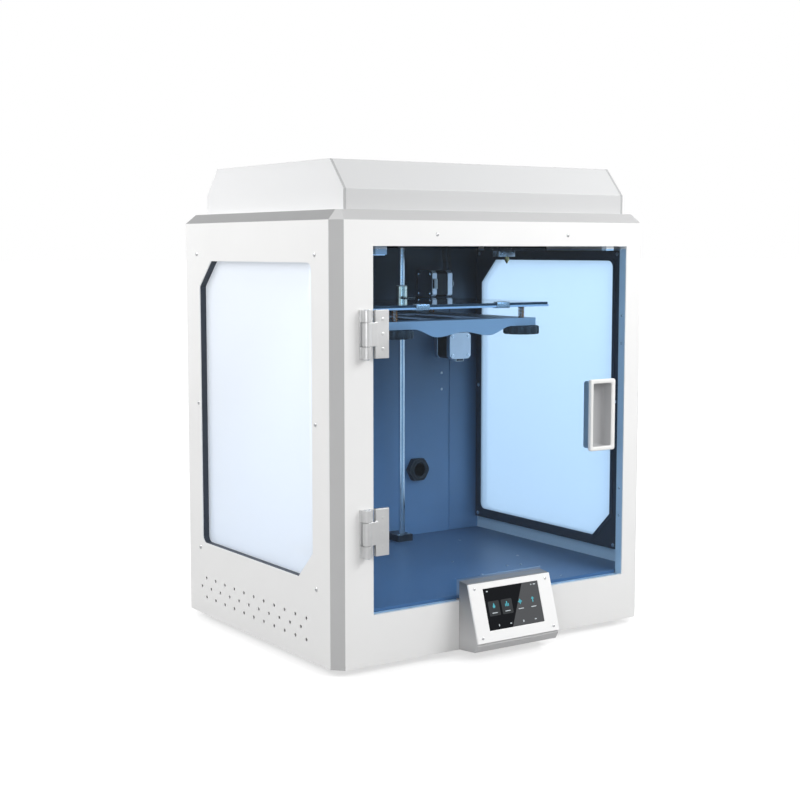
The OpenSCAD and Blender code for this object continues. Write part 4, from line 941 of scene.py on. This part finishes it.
def stepper(centre, axis, length, shaft, plug=(0, -1)):
    """A 42.3 mm stepper motor below its mounting face at height 0: cut-corner caps,
    a stack of laminations, boss, shaft.

    plug is the side that its connector stands on. Gives the shapes for cap, stack, steel
    and connector finishes.
    """
    half, cut, cap = 21.15, 4.5, 9.5

    def block(low, high, inset=0.0):
        """A square with cut corners between two heights, its edges eased by 0.5 mm."""
        soft = 0.5
        rings = [(half - inset - soft, half - inset - soft, cut, low),
                 (half - inset, half - inset, cut, low + soft),
                 (half - inset, half - inset, cut, high - soft),
                 (half - inset - soft, half - inset - soft, cut, high)]
        return lofted(rings, centre, axis, 1)

    caps = [block(-cap, 0), block(-length, cap - length)]
    sheets = []
    for low in np.arange(cap - length, -cap - 0.01, 0.7):
        sheets += [(half - 0.5, half - 0.5, cut, low + 0.02), (half - 0.5, half - 0.5, cut, low + 0.45),
                   (half - 0.75, half - 0.75, cut, low + 0.5), (half - 0.75, half - 0.75, cut, low + 0.68)]
    stack = [lofted(sheets, centre, axis, 1)]
    steel = [turned([(0, 0), (11, 0), (11, 1.6), (10.6, 2), (6.5, 2), (6.2, 1.4), (0, 1.4)], centre, axis,
                    48),
             turned([(0, 1), (2.5, 1), (2.5, shaft - 0.5), (2.0, shaft), (0, shaft)], centre, axis, 24,
                    lambda r, h, a: np.where((h > 5) & (np.cos(a) > 0),
                                             np.minimum(r, 2.0 / np.maximum(np.cos(a), 0.01)), r))]
    for sx in (-1, 1):
        for sy in (-1, 1):
            spot = stood([(sx * 15.5, sy * 15.5, -length)], centre, axis)[0]
            back = {"z": "-z", "-z": "z", "y": "-y", "x": "-x"}[axis]
            steel.append(button_screw(spot, back, 2.7, 0.8, 0.2))
    px, py = plug
    low = np.array([px * 23.0 - (8 if py else 2.4), py * 23.0 - (8 if px else 2.4), 1.2 - length])
    high = np.array([px * 23.0 + (8 if py else 2.4), py * 23.0 + (8 if px else 2.4), 7.6 - length])
    body = slab(low, high, 0.6, 0.3)
    slot_low = low + np.array([1.2 if py else 0.8, 1.2 if px else 0.8, -0.15])
    slot_high = np.array([high[0] - (1.2 if py else 0.8), high[1] - (1.2 if px else 0.8), low[2] + 0.1])
    plug_shapes = [(stood(body[0], centre, axis), body[1])]
    mouth = slab(slot_low, slot_high, 0.3, 0.05)
    return caps, stack + [(stood(mouth[0], centre, axis), mouth[1])], steel, plug_shapes


def add_motors():
    """Lift, feeder and Y motors on the frame, and the X motor on the gantry."""
    sets = [stepper((LIFT_X, ROD_Y, 70), "z", 40, 12, (0, -1)),
            stepper((193.6, 399, 383), "y", 44, 20, (-1, 0)),
            stepper((177, 376, 484), "x", 40, 16, (-1, 0))]
    finish = [FINISH["motor"], FINISH["lamination"], FINISH["rod_steel"], FINISH["white_nylon"]]
    groups = [(sum((list(s[k]) for s in sets), []), finish[k]) for k in range(4)]
    piece("frame_stepper_motors", groups, "frame_motors")
    own = stepper((-206, RAIL_Y, 577), "-z", 40, 20, (1, 0))
    piece("gantry_stepper_motor", [(list(own[k]), finish[k]) for k in range(4)], "x_motor")


def fan_wheel(centre, axis, tip, hub, depth, bore, blades=7):
    """Hub with a domed front and curved blades.

    A blade's point at share s of its span and chord place c is at radius hub + s (tip - hub), turned by
    (c - lean * s) / radius, and at height c tan(pitch), with camber k (1 - (2c / chord)^2).
    Two such faces make its wall.
    """
    cap = turned([(bore, 0.4), (hub - 0.6, 0.4), (hub, 1.0), (hub, depth - 1.2), (hub - 0.8, depth - 0.2),
                  (hub - 2.5, depth),
                  (0, depth), (0, depth - 1.0), (bore, depth - 1.0)], centre, axis, 48, ring=True)
    s = np.linspace(0, 1, 7)[:, None]
    c = np.concatenate([np.linspace(-1, 1, 9), np.linspace(1, -1, 9)[1:-1]])[None, :]
    side = np.concatenate([np.ones(9), -np.ones(7)])[None, :]
    side = side * (1 - c**2) * 0.45 + 0 * s
    radius = hub - 0.4 + s * (tip - hub + 0.4) + 0 * c
    chord = depth * (0.55 + 0.2 * s)
    reach = c * chord * math.cos(0.7)
    lean = 0.25 * radius * s
    height = depth / 2 + c * chord * math.sin(0.7) * 0.85 + (1 - c**2) * 0.06 * tip + side
    height = np.clip(height, 0.3, depth - 0.3)
    shapes = [cap]
    for k in range(blades):
        angle = (reach - lean) / radius + k * TAU / blades
        grid = np.stack([radius * np.cos(angle), radius * np.sin(angle), height], axis=-1)
        faces = [tuple(q) for q in woven(7, 16, False, True)]
        faces.append(tuple(range(16)))
        faces.append(tuple(range(96, 112))[::-1])
        shapes.append((stood(grid.reshape(-1, 3), centre, axis), faces))
    return shapes


def add_fans():
    """The bay fan's wheel faces rearwards, the head fan's wheel forwards."""
    piece("bay_fan_wheel", [(fan_wheel((-100, 416, 36), "y", 26, 12, 9, 2.05), FINISH["black_plastic"])],
          "bay_fan_rotor")
    piece("head_fan_wheel", [(fan_wheel((144, 132.2, 568), "-y", 17, 9, 7, 1.55), FINISH["black_plastic"])],
          "head_fan")


# ---------------------------------------------------------------- print head

def add_hot_end():
    """Finned heat sink turned in one profile, heater block with its cartridge and clamp screw, and a
    hexagonal nozzle."""
    x, y = 134.0, 160.0
    fins = [(0, 546), (4.2, 546)]
    for k in range(8):
        low = 546 + 3.2 * k
        fins += [(10.7, low), (11, low + 0.3), (11, low + 1.1), (10.7, low + 1.4), (5, low + 1.5)]
    fins += [(5, 572.6), (8, 572.8), (8, 574.6), (6, 574.8), (6, 582.6), (5.6, 583), (2.2, 583),
             (2.1, 570.5), (0, 570.5)]
    sink = turned(fins, (x, y, 0), "z", 48)
    neck = turned([(0, 536), (2, 536), (2, 546.5), (0, 546.5)], (x, y, 0), "z", 24)
    block = slab((x - 20.5, y - 8, 528), (x + 9.7, y + 8, 538), 1.0, 0.5)
    cartridge = turned([(0, -9.2), (2.6, -9.2), (3, -8.8), (3, 8.8), (2.6, 9.2), (0, 9.2)],
                       (x - 13, y, 533), "y", 24)
    clamp = button_screw((x - 17.5, y - 8, 531), "-y", 1.8, 1.2)
    sensor = turned([(0, 0), (1.6, 0), (1.6, 0.9), (1.2, 1.3), (0, 1.3)], (x + 5.5, y - 8, 534.5), "-y", 20)

    def hexed(r, h, a):
        """Radius of the nozzle's hexagon: 3.05 / cos(angle to the nearest flat), between 522.4 and 527."""
        near = (a + math.pi / 6) % (math.pi / 3) - math.pi / 6
        return np.where((h > 522.4) & (h < 527) & (r > 3.0), 3.05 / np.cos(near), r)

    nozzle = turned([(0, 518), (0.6, 518), (1.3, 519), (3.1, 522.3), (3.5, 522.6), (3.5, 526.8), (2.6, 527),
                     (2.6, 528.4), (0, 528.4)],
                    (x, y, 0), "z", 36, hexed)
    wires = []
    for k, start in enumerate(((x - 13, y + 9), (x - 11.6, y + 9), (x + 5.5, y - 8))):
        s = np.linspace(0, 1, 14)
        path = np.column_stack([start[0] + s * (k - 1) * 1.5, start[1] + np.sin(s * math.pi) * 2.2, 534
                                + s * 30.0])
        wires.append(wire(path, 0.6, (1, 0, 0)))
    groups = [([sink, block, neck], FINISH["hot_alloy"]), ([nozzle], FINISH["brass"]),
              ([cartridge, clamp, sensor], FINISH["rod_steel"]), (wires[:2], FINISH["switch_red"])]
    piece("finned_hot_end", groups, "hot_end")


def add_head_details():
    """Socket screws on the carriage and fan frame."""
    screws = [button_screw((144 + sx * 24, 172.5, 565 + sz * 8), "-y", 1.9, 1.0) for sx in (-1, 1)
              for sz in (-1, 1)]
    corners = [button_screw((144 + sx * 16.5, 124.0, 568 + sz * 16.5), "-y", 1.7, 0.8) for sx in (-1, 1)
               for sz in (-1, 1)]
    piece("head_screws", [(screws + corners, FINISH["screw_zinc"])], None, "head")


# ---------------------------------------------------------------- case details

PANE_X = abs(float(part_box("window_panes")[0][0])) * 1000 - 3.0


def add_case_screws():
    """Button heads on both faces of the side panels, on the front edge, and at the touchscreen's corners."""
    heads = []
    for y in (48.3, 381.5):
        for z in (99, 314.4, 532):
            outside = button_screw((265.0, y, z), "x", 3.0, 1.2)
            inside = turned([(0, 0), (3, 0), (3, 0.8), (2.6, 1.4), (1.6, 1.6), (0, 1.6)], (PANE_X, y, z),
                            "-x", 20)
            shank = turned([(0, PANE_X - 1), (1.55, PANE_X - 1), (1.55, 265.2), (0, 265.2)], (0, y, z), "x",
                           16)
            for shape in (outside, inside, shank):
                heads += [shape, mirrored(shape)]
    heads += [button_screw((x, 0.0, 558.0), "-y", 2.6, 1.2) for x in (-107.4, 114.9)]
    for x in (-61, 61):
        for z in (-7, -73):
            heads.append(on_touch_face(button_screw((x, 0.0, z), "-y", 2.2, 0.8)))
    piece("case_button_screws", [(heads, FINISH["screw_zinc"])], "panel_screws")


BROW = np.array([0.0, -20.0, 92.8])
TILT = math.atan2(24.0, 76.1)


def on_touch_face(shape):
    """Turns a shape drawn against the touchscreen's face by its tilt about X, and carries it to the upper
    edge."""
    points, faces = shape
    c, s = math.cos(-TILT), math.sin(-TILT)
    turn = np.array([[1, 0, 0], [0, c, -s], [0, s, c]])
    return points @ turn.T + BROW, faces


def glow(name, colour, strength):
    """Lit display ink: a soft emission over a dark base, a little uneven as a backlight is."""
    r = Recipe(name)
    uneven = r.noise(60.0)
    r.set(
        Base_Color=r.tone(r.span(uneven, 0, 1), tuple(0.5 * v for v in colour), colour),
        Emission_Color=(*colour, 1.0),
        Emission_Strength=strength,
        Roughness=0.3,
    )
    return r.material


def add_screen_marks():
    """Plain pictograms 0.15 mm proud of the glass: drop, lines, cog and arrow in tiles, a status row, and
    label bars."""
    def flat(points_2d, thick=0.15, lift=0.5):
        """A flat outline (x, z) on the face, given a thickness towards the viewer."""
        p = np.array(points_2d, float)
        n = len(p)
        front = np.column_stack([p[:, 0], np.full(n, lift - thick), p[:, 1]])
        back = np.column_stack([p[:, 0], np.full(n, lift + 0.05), p[:, 1]])
        faces = [tuple(range(n)), tuple(range(n, 2 * n))[::-1]]
        k = np.arange(n)
        sides = np.stack([k, k + n, (k + 1) % n + n, (k + 1) % n], axis=-1)
        return on_touch_face((np.concatenate([front, back]), faces + [tuple(q) for q in sides]))

    def bar(x, z, w, h):
        """A flat rounded bar."""
        o = outline(w / 2, h / 2, min(w, h) * 0.45, 2)
        return flat(o + np.array([x, z]))

    def round_mark(x, z, r, n=14):
        """A flat disc with n sides."""
        return flat(disc(r, n) + np.array([x, z]))

    middle = -8.5 - 56.5 / 2
    teal, pale, tile = [], [], []
    for k, x in enumerate((-33.5, -11.5, 11.5, 33.5)):
        if k < 2:
            o = outline(9.2, 10.0, 1.6, 3)
            tile.append(flat(o + np.array([x, middle + 0.5])))
        icon_z = middle + 4.0
        if k == 0:
            teal += [round_mark(x, icon_z - 1.0, 2.1),
                     flat([(x - 1.6, icon_z + 0.2), (x + 1.6, icon_z + 0.2), (x, icon_z + 4.0)])]
        elif k == 1:
            teal += [bar(x, icon_z, 1.6, 7.0), bar(x - 2.4, icon_z - 1.4, 1.2, 4.0),
                     bar(x + 2.4, icon_z - 1.4, 1.2, 4.0)]
        elif k == 2:
            teal += [round_mark(x, icon_z, 2.3, 8), bar(x, icon_z, 1.2, 7.0), bar(x, icon_z, 7.0, 1.2)]
        else:
            teal += [bar(x, icon_z - 1.0, 1.4, 5.0),
                     flat([(x - 2.8, icon_z + 0.8), (x + 2.8, icon_z + 0.8), (x, icon_z + 4.0)])]
        pale.append(bar(x, middle - 5.6, 9.0, 1.0))
    pale += [bar(-41.0, -12.5, 3.0, 1.6), bar(40.5, -12.5, 4.0, 1.6), bar(35.0, -12.5, 2.0, 1.6)]
    pale += [bar(-30.0, -59.5, 1.4, 3.0), bar(-10.0, -59.5, 3.2, 1.4), bar(12.0, -59.5, 1.6, 3.0),
             bar(33.0, -59.5, 3.4, 1.4)]
    groups = [(teal, glow("icon_teal", (0.05, 0.30, 0.36), 0.7)),
              (pale, glow("label_white", (0.5, 0.55, 0.58), 0.4))]
    piece("screen_pictograms", groups, None, "root")
    tiles = [(points + np.array([0, 0.08, 0]), faces) for points, faces in tile]
    piece("screen_tiles", [(tiles, glow("tile_grey", (0.014, 0.018, 0.022), 0.1))], None, "root")


def add_feet():
    """Rubber feet with a wide heel, two grip rings and the screw sunk in the middle."""
    feet, screws = [], []
    for x in (-225, 225):
        for y in (40, 390):
            line = [(6, 3), (6, 0.4), (6.4, 0), (9.5, 0), (10, 0.8), (11, 0.8), (11.5, 0), (16.4, 0),
                    (17, 0.6), (17.2, 5.2),
                    (18.2, 5.9), (18.5, 6.4), (18.5, 7.9), (0, 7.9)]
            line = [(18.5 if r > 18.4 else r, h) for r, h in line]
            base = turned([(0, 3)] + line, (x, y, -8), "z", 48)
            feet.append(base)
            screws.append(button_screw((x, y, -5.2), "-z", 4.2, 1.6, 0.2))
    piece("ribbed_feet", [(feet, FINISH["foot_rubber"]), (screws, FINISH["screw_zinc"])], "feet")


def add_spool_holder():
    """Hollow arm with a rounded tip and a stepped collar, and the chamfered hexagon nut on the inner wall."""
    centre = (136.7, 0, 180)
    arm = [(11, 388.4), (13.6, 388), (14, 388.5), (14, 430), (27.2, 430), (28, 430.8), (28, 433), (27, 434),
           (19, 434),
           (17.2, 434.6), (17, 436), (17, 515.8), (16.2, 517.6), (14.6, 518), (12.6, 518), (11.4, 517.4),
           (11, 516)]
    tube = turned(arm, centre, "y", 64, ring=True)
    piece("spool_arm_tube", [([tube], FINISH["black_plastic"])], "spool_arm")

    def hexed(r, h, a):
        """Radius of the nut's sides: 17.75 / cos(angle to the nearest flat), for all points beyond 17.4."""
        near = (a + math.pi / 6) % (math.pi / 3) - math.pi / 6
        flat = 17.75 / np.cos(near)
        return np.where(r > 17.4, np.minimum(flat, np.where(r > 19.9, 99.0, r + 0 * a)), r)

    nut = [(14, 0), (20.5, 0), (20.5, 8.6), (18.9, 10), (17.0, 10), (16.6, 9.4), (15.2, 9.4), (14.8, 10),
           (14, 10)]
    piece("spool_arm_nut",
          [([turned(nut, (136.7, 399, 180), "-y", 72, hexed, ring=True)], FINISH["black_plastic"])],
          "spool_nut")


def add_pull():
    """Flush pull as one skin of rounded rectangles: cup wall, rim back, rim edge, rim face, pocket wall,
    pocket floor."""
    w, h = 23.0, 51.0
    rings = [(w - 4.2, h - 4.2, 3.0, 14.0), (w - 3.4, h - 3.4, 3.4, 13.6), (w - 3, h - 3, 3.6, 12.8),
             (w - 3, h - 3, 3.6, 0.0), (w - 0.3, h - 0.3, 2.6, 0.0), (w, h, 2.8, -0.4), (w, h, 2.8, -4.9),
             (w - 0.5, h - 0.5, 2.6, -5.7),
             (w - 1.3, h - 1.3, 2.4, -6.0), (w - 4.6, h - 4.6, 2.2, -6.0, -0.6, 0),
             (w - 5.4, h - 5.4, 2.2, -5.6, -0.8, 0),
             (w - 6, h - 6, 2.2, -4.6, -1, 0), (w - 6.1, h - 6.1, 2.2, 9.6, -1, 0),
             (w - 6.9, h - 6.9, 2.0, 11.4, -1, 0), (w - 8.5, h - 8.5, 1.6, 12.0, -1, 0)]
    turned_rings = []
    for item in rings:
        half_x, half_z, corner, y, *shift = item
        dx = shift[0] if shift else 0.0
        turned_rings.append((half_z, half_x, corner, y, 0.0, dx))
    shell = lofted(turned_rings, (179.25, 0, 304.35), "y", 5)
    shell = (shell[0], [tuple(face)[::-1] for face in shell[1]])
    made = piece("flush_pull_shell", [([shell], FINISH["pull_plastic"])], "door_handle", smooth=50)
    # Faces deeper than the glass face take the pocket's painted shade.
    made.data.materials.append(FINISH["pull_shade"])
    glass_face = float(case((0, -0.2, 0))[1])
    for face in made.data.polygons:
        face.material_index = int(face.center.y > glass_face)


def add_hinge_details():
    """Hinge pins with domed heads, and the countersunk screws on the leaves."""
    pins, screws = [], []
    for z in (145.0, 400.5):
        line = [(0, z - 1.2), (3.4, z - 1.2), (4, z - 0.7), (4, z), (2.5, z), (2.5, z + 62), (4, z + 62),
                (4, z + 62.7), (3.4, z + 63.2),
                (0, z + 63.2)]
        pins.append(turned(line, (-222, -7, 0), "z", 32))
        for dz in (12, 31, 50):
            screws.append(button_screw((-196.0, -5.2, z + dz), "-y", 2.3, 0.45, 0.2))
    piece("hinge_pivot_pins", [(pins, FINISH["rod_steel"])], "hinge_pins")
    piece("hinge_leaf_screws", [(screws, FINISH["hinge_alloy"])], None, "door")


WIN_FRONT, WIN_REAR, WIN_BOTTOM, WIN_TOP = 57.0, 374.0, 108.0, 522.0
WIN_CUT, WIN_R = 37.0, 10.0


def window_loop(grow):
    """The window's outline (y, z) let out by grow: cut corners low in front
    and high at the rear, round ones between.

    A round corner is its centre plus r (cos t, sin t), t over its quarter turn.
    """
    y0, y1, z0, z1 = WIN_FRONT - grow, WIN_REAR + grow, WIN_BOTTOM - grow, WIN_TOP + grow
    cut = WIN_CUT + grow * (2 - math.sqrt(2))
    r = WIN_R + grow
    t = np.linspace(0, math.pi / 2, 9)[:, None]
    quarter = np.hstack([np.cos(t), np.sin(t)]) * r
    low_rear = np.array([y1 - r, z0 + r]) + quarter[::-1] * (1, -1)
    high_front = np.array([y0 + r, z1 - r]) + quarter[::-1] * (-1, 1)
    return np.vstack([[[y0 + cut, z0]], low_rear, [[y1, z1 - cut], [y1 - cut, z1]], high_front,
                      [[y0, z0 + cut]]])


def add_window_retainers():
    """A flat frame inside each window that holds the pane in its gasket: the outline at two sizes, joined
    at two depths."""
    inner, outer = window_loop(0.2), window_loop(6.5)
    x0, x1 = PANE_X - 0.9, PANE_X - 0.1
    n = len(inner)
    loops = [(inner, x0), (outer, x0), (outer, x1), (inner, x1)]
    points = np.vstack([np.column_stack([np.full(n, x), line]) for line, x in loops])
    k = np.arange(n)
    faces = []
    for a in range(4):
        b = (a + 1) % 4
        quads = np.stack([a * n + (k + 1) % n, b * n + (k + 1) % n, b * n + k, a * n + k], axis=-1)
        faces += [tuple(q) for q in quads]
    frame_right = (points, faces)
    piece("window_retainers", [([frame_right, mirrored(frame_right)], FINISH["gasket"])], None, "root")


def add_sill():
    """Plate that closes the gap between the chamber floor's front edge and the door opening's foot."""
    sill = slab((-205.0, 12.5, 67.15), (222.0, 14.0, 71.4), 0.4, 0.2)
    # The sill takes the chamber floor's painted shade.
    piece("chamber_sill", [([sill], FINISH["painted_shade_floor"])], None, "root")


def add_chamber_details():
    """Small fasteners on the chamber's floor, back wall and right jamb, a lamp over the opening, and a
    lap in the back wall."""
    floor = [(166, 318), (58, 190), (167, 170), (109, 122), (132, 119), (133, 28), (43, 97), (-150, 300),
             (-60, 330), (-170, 60)]
    heads = [button_screw((x, y, 71.5), "z", 2.2, 0.9, 0.2) for x, y in floor]
    heads += [button_screw((x, 399, z), "-y", 2.3, 1.0, 0.2) for x,
              z in ((187.9, 309.2), (187.9, 336.2), (-150, 250), (-150, 480))]
    heads += [button_screw((224.7, 8.0, z), "-x", 2.0, 0.9, 0.2) for z in (153, 193, 404, 444)]
    piece("chamber_screws", [(heads, FINISH["screw_zinc"])], None, "root")
    housing = slab((-196, 12, 532), (-178, 26, 543), 1.2, 0.8)
    lens = slab((-194, 13.5, 531.2), (-180, 24.5, 532.4), 0.8, 0.3)
    piece("chamber_lamp", [([housing], FINISH["support_paint"]),
                           ([lens], glow("lamp_lens", (0.75, 0.86, 1.0), 0.6))],
          None, "root")
    seams = [slab((203.0, 397.7, 72.5), (257.0, 399.05, 540), 0.5, 0.25)]
    piece("rear_wall_lap", [(seams, FINISH["inner_paint"])], None, "root")


# ---------------------------------------------------------------- electronics and rear

def add_electronics():
    """Board with chips, finned drivers, capacitors and plugs; the supply's terminal strip with its studs."""
    board = slab((70, 60, 8), (190, 160, 9.6), 2.0, 0.2)
    posts = [turned([(0, 2), (3, 2), (3, 8), (0, 8)], (x, y, 0), "z", 6) for x in (75, 185)
             for y in (65, 155)]
    tops = [button_screw((x, y, 9.6), "z", 2.6, 1.4, 0.2) for x in (75, 185) for y in (65, 155)]
    chips, fins, plugs, cans = [], [], [], []
    for k in range(5):
        x = 82 + 19 * k
        chips.append(slab((x, 120, 9.6), (x + 12, 134, 11.2), 0.5, 0.3))
        for j in range(5):
            fins.append(slab((x + 0.6 + 2.3 * j, 120.6, 12.2), (x + 1.8 + 2.3 * j, 133.4, 21.8), 0.2, 0.2))
        fins.append(slab((x + 0.2, 120.4, 11.2), (x + 11.8, 133.6, 12.6), 0.3, 0.2))
    chips += [slab((118, 88, 9.6), (140, 110, 11.0), 0.8, 0.3),
              slab((150, 92, 9.6), (158, 104, 11.4), 0.4, 0.2),
              slab((92, 92, 9.6), (104, 98, 11.2), 0.4, 0.2)]
    for k in range(7):
        x = 78 + 15 * k
        rings = [(5, 4, 0.4, 9.6), (5, 4, 0.4, 18.7), (4.7, 3.7, 0.3, 19), (4.2, 3.1, 0.3, 19),
                 (4.2, 3.1, 0.3, 12), (0.4, 0.4, 0.1, 12)]
        plugs.append(lofted(rings, (x + 5, 70, 0), "z", 2))
    for k in range(4):
        x = 86 + 24 * k
        can = [(0, 9.6), (3.9, 9.6), (4.1, 10.2), (3.9, 10.9), (4.1, 11.6), (4.1, 18.4), (3.6, 19),
               (3.2, 18.7), (0, 18.7)]
        cans.append(turned(can, (x, 146, 0), "z", 28))
    groups = [([board], FINISH["circuit_board"]), (chips + [cans[k] for k in (1,)], FINISH["black_plastic"]),
              (fins + posts + tops + [cans[k] for k in (0, 2, 3)], FINISH["hot_alloy"]),
              (plugs, FINISH["white_nylon"])]
    piece("populated_board", groups, "mainboard")
    strip, studs = [slab((-43, 230, 4), (-27, 335, 19), 0.6, 0.4)], []
    for k in range(7):
        y = 238 + 14.2 * k
        strip.append(slab((-44.2, y - 7.4, 10), (-30, y - 6.2, 25), 0.3, 0.2))
        studs.append(button_screw((-36, y, 19.0), "z", 2.8, 1.4, 0.2))
    groups = [(strip, FINISH["black_plastic"]), (studs, FINISH["screw_zinc"])]
    piece("supply_terminals", groups, None, "root")


def add_feeder():
    """Hobbed wheel with 36 teeth round its groove, the lever's roller bearing, and the feeder's screws."""
    def hobbed(r, h, a):
        """Radius r less 0.35 mm times (0.5 + 0.5 cos 36 a), fading with the distance from the groove's
        middle."""
        wave = 0.5 + 0.5 * np.cos(36 * a)
        return np.where(np.abs(r - 5.7) < 0.5, r - 0.35 * wave * (1 - np.clip(np.abs(h - 413.5) / 3, 0, 1)),
                        r)

    line = [(2.55, 406.5), (7.1, 406.5), (7.5, 406.9), (7.5, 409.1), (7.1, 409.5), (6, 409.6), (6, 411),
            (5.7, 411.6), (5.3, 413.5),
            (5.7, 415.4), (6, 416), (6, 418.1), (5.6, 418.5), (2.55, 418.5)]
    gear = turned(line, (193.6, 0, 383), "y", 144, hobbed, ring=True)
    grub = turned([(0, 0), (1.5, 0), (1.5, 0.3), (0.8, 0.3), (0.8, 0.05), (0, 0.05)], (193.6, 408, 390.4),
                  "z", 16)
    piece("hobbed_drive_wheel", [([gear], FINISH["brass"]), ([grub], FINISH["black_plastic"])], "drive_gear")
    race = turned([(1.5, 416), (5.2, 416), (5.2, 416.4), (3.6, 416.4), (3.4, 416.2), (2.6, 416.2),
                   (2.4, 416.5), (1.5, 416.5)],
                  (206.5, 0, 383), "y", 40, ring=True)
    piece("lever_bearing_face", [([race], FINISH["rod_steel"])], None, "feed_lever")
    post = [button_screw((193.6 + sx * 20, 405.5, 383 + sz * 22), "y", 2.8, 1.6) for sx,
            sz in ((-1, -1), (-1, 1), (1, -1))]
    piece("feeder_screws", [(post, FINISH["screw_zinc"])], None, "root")


def add_bracket_screws():
    """Socket screws of the rod clamps, the corner brackets, the right gantry block and the X motor."""
    low = [button_screw((LIFT_X + s * 84.4 + t * 9.5, 365, 82), "z", 2.3, 1.2) for s in (-1, 1)
           for t in (-1, 1)]
    high = [button_screw((s * (264 - 1.6) - s * 13, 390, RAIL_Z + 10), "z", 2.3, 1.2) for s in (-1, 1)]
    piece("bracket_screws", [(low + high, FINISH["screw_zinc"])], None, "root")
    block_screws = [button_screw((249, RAIL_Y + t * 15, RAIL_Z + 9), "z", 2.2, 1.1) for t in (-1, 1)]
    motor_screws = [button_screw((-206 + s * 15.5, RAIL_Y + t * 15.5, RAIL_Z + 9), "-z", 2.6, 1.4)
                    for s in (-1, 1) for t in (-1, 1)]
    piece("gantry_screws", [(block_screws + motor_screws, FINISH["screw_zinc"])], None, "gantry")


# ---------------------------------------------------------------- assembly

add_camera()
add_studio()
FINISH = make_finishes()

SOFTENED = {
    "front_panel": 0.5, "left_panel": 0.4, "right_panel": 0.4, "rear_cover": 0.4, "top_frame": 0.5,
            "base_tray": 0.4,
    "chamber_floor": 0.4, "back_wall": 0.4, "window_gaskets": 0.5, "window_panes": 0.3, "touch_housing": 0.9,
    "touch_bezel": 0.8, "touch_screen": 0.25, "hinge_frame_leaves": 0.5, "hinge_door_leaves": 0.6,
            "door_glass": 0.35,
    "bed_support": 0.5, "heated_bed": 0.5, "glass_plate": 0.4, "hood_shell": 0.5, "hood_ends": 0.5,
    "rod_brackets": 0.5, "gantry_blocks": 0.5, "head_carriage": 0.6, "head_shell": 0.4, "lift_carriage": 0.6,
    "feeder_plate": 0.4, "idler_lever": 0.5, "bay_fan_frame": 0.6, "power_inlet": 0.4, "rocker_switch": 0.4,
    "power_supply": 0.3,
}
# The chamfer trim's tones by facing are painted light and shade.
TRIM = ("case_paint", "trim_corner", "trim_grey", "trim_shade")
# Painted light among these: the trim's tones by facing, the pale bed edges as painted highlight, and darker
# copies as painted shade for the hood shell, touchscreen housing and chamber floor.
TONED = {
    "front_panel": (TRIM, by_slant), "rear_cover": (TRIM, by_slant), "top_frame": (TRIM, by_slant),
    "glass_plate": (("bed_glass", "glass_edge"), by_edge),
         "heated_bed": (("bed_alloy", "plate_edge"), by_edge),
    "hood_ends": (("hood_acrylic", "hood_edge"), by_rim), "hood_shell": (("hood_sheet_painted_shade",), None),
    "touch_housing": (("touch_shade",), None), "chamber_floor": (("painted_shade_floor",), None),
}
for node, width in SOFTENED.items():
    names, pick = TONED.get(node, ((SLOT_OF[node],), None))
    softened(node, [FINISH[name] for name in names], width, pick)

add_rods()
add_lead_screw()
add_springs()
add_knobs()
add_bearings()
add_clips()
add_bed_details()
add_belts()
add_pulleys()
add_motors()
add_fans()
add_hot_end()
add_head_details()
add_case_screws()
add_screen_marks()
add_feet()
add_spool_holder()
add_pull()
add_hinge_details()
add_chamber_details()
add_window_retainers()
add_sill()
add_electronics()
add_feeder()
add_bracket_screws()

for node, shown in frame["nodes"].items():
    mesh = shown.data
    if not mesh.materials:
        mesh.materials.append(FINISH[SLOT_OF[node]])
    for k in range(len(mesh.materials)):
        shown.material_slots[k].material = FINISH[SLOT_OF[node]]
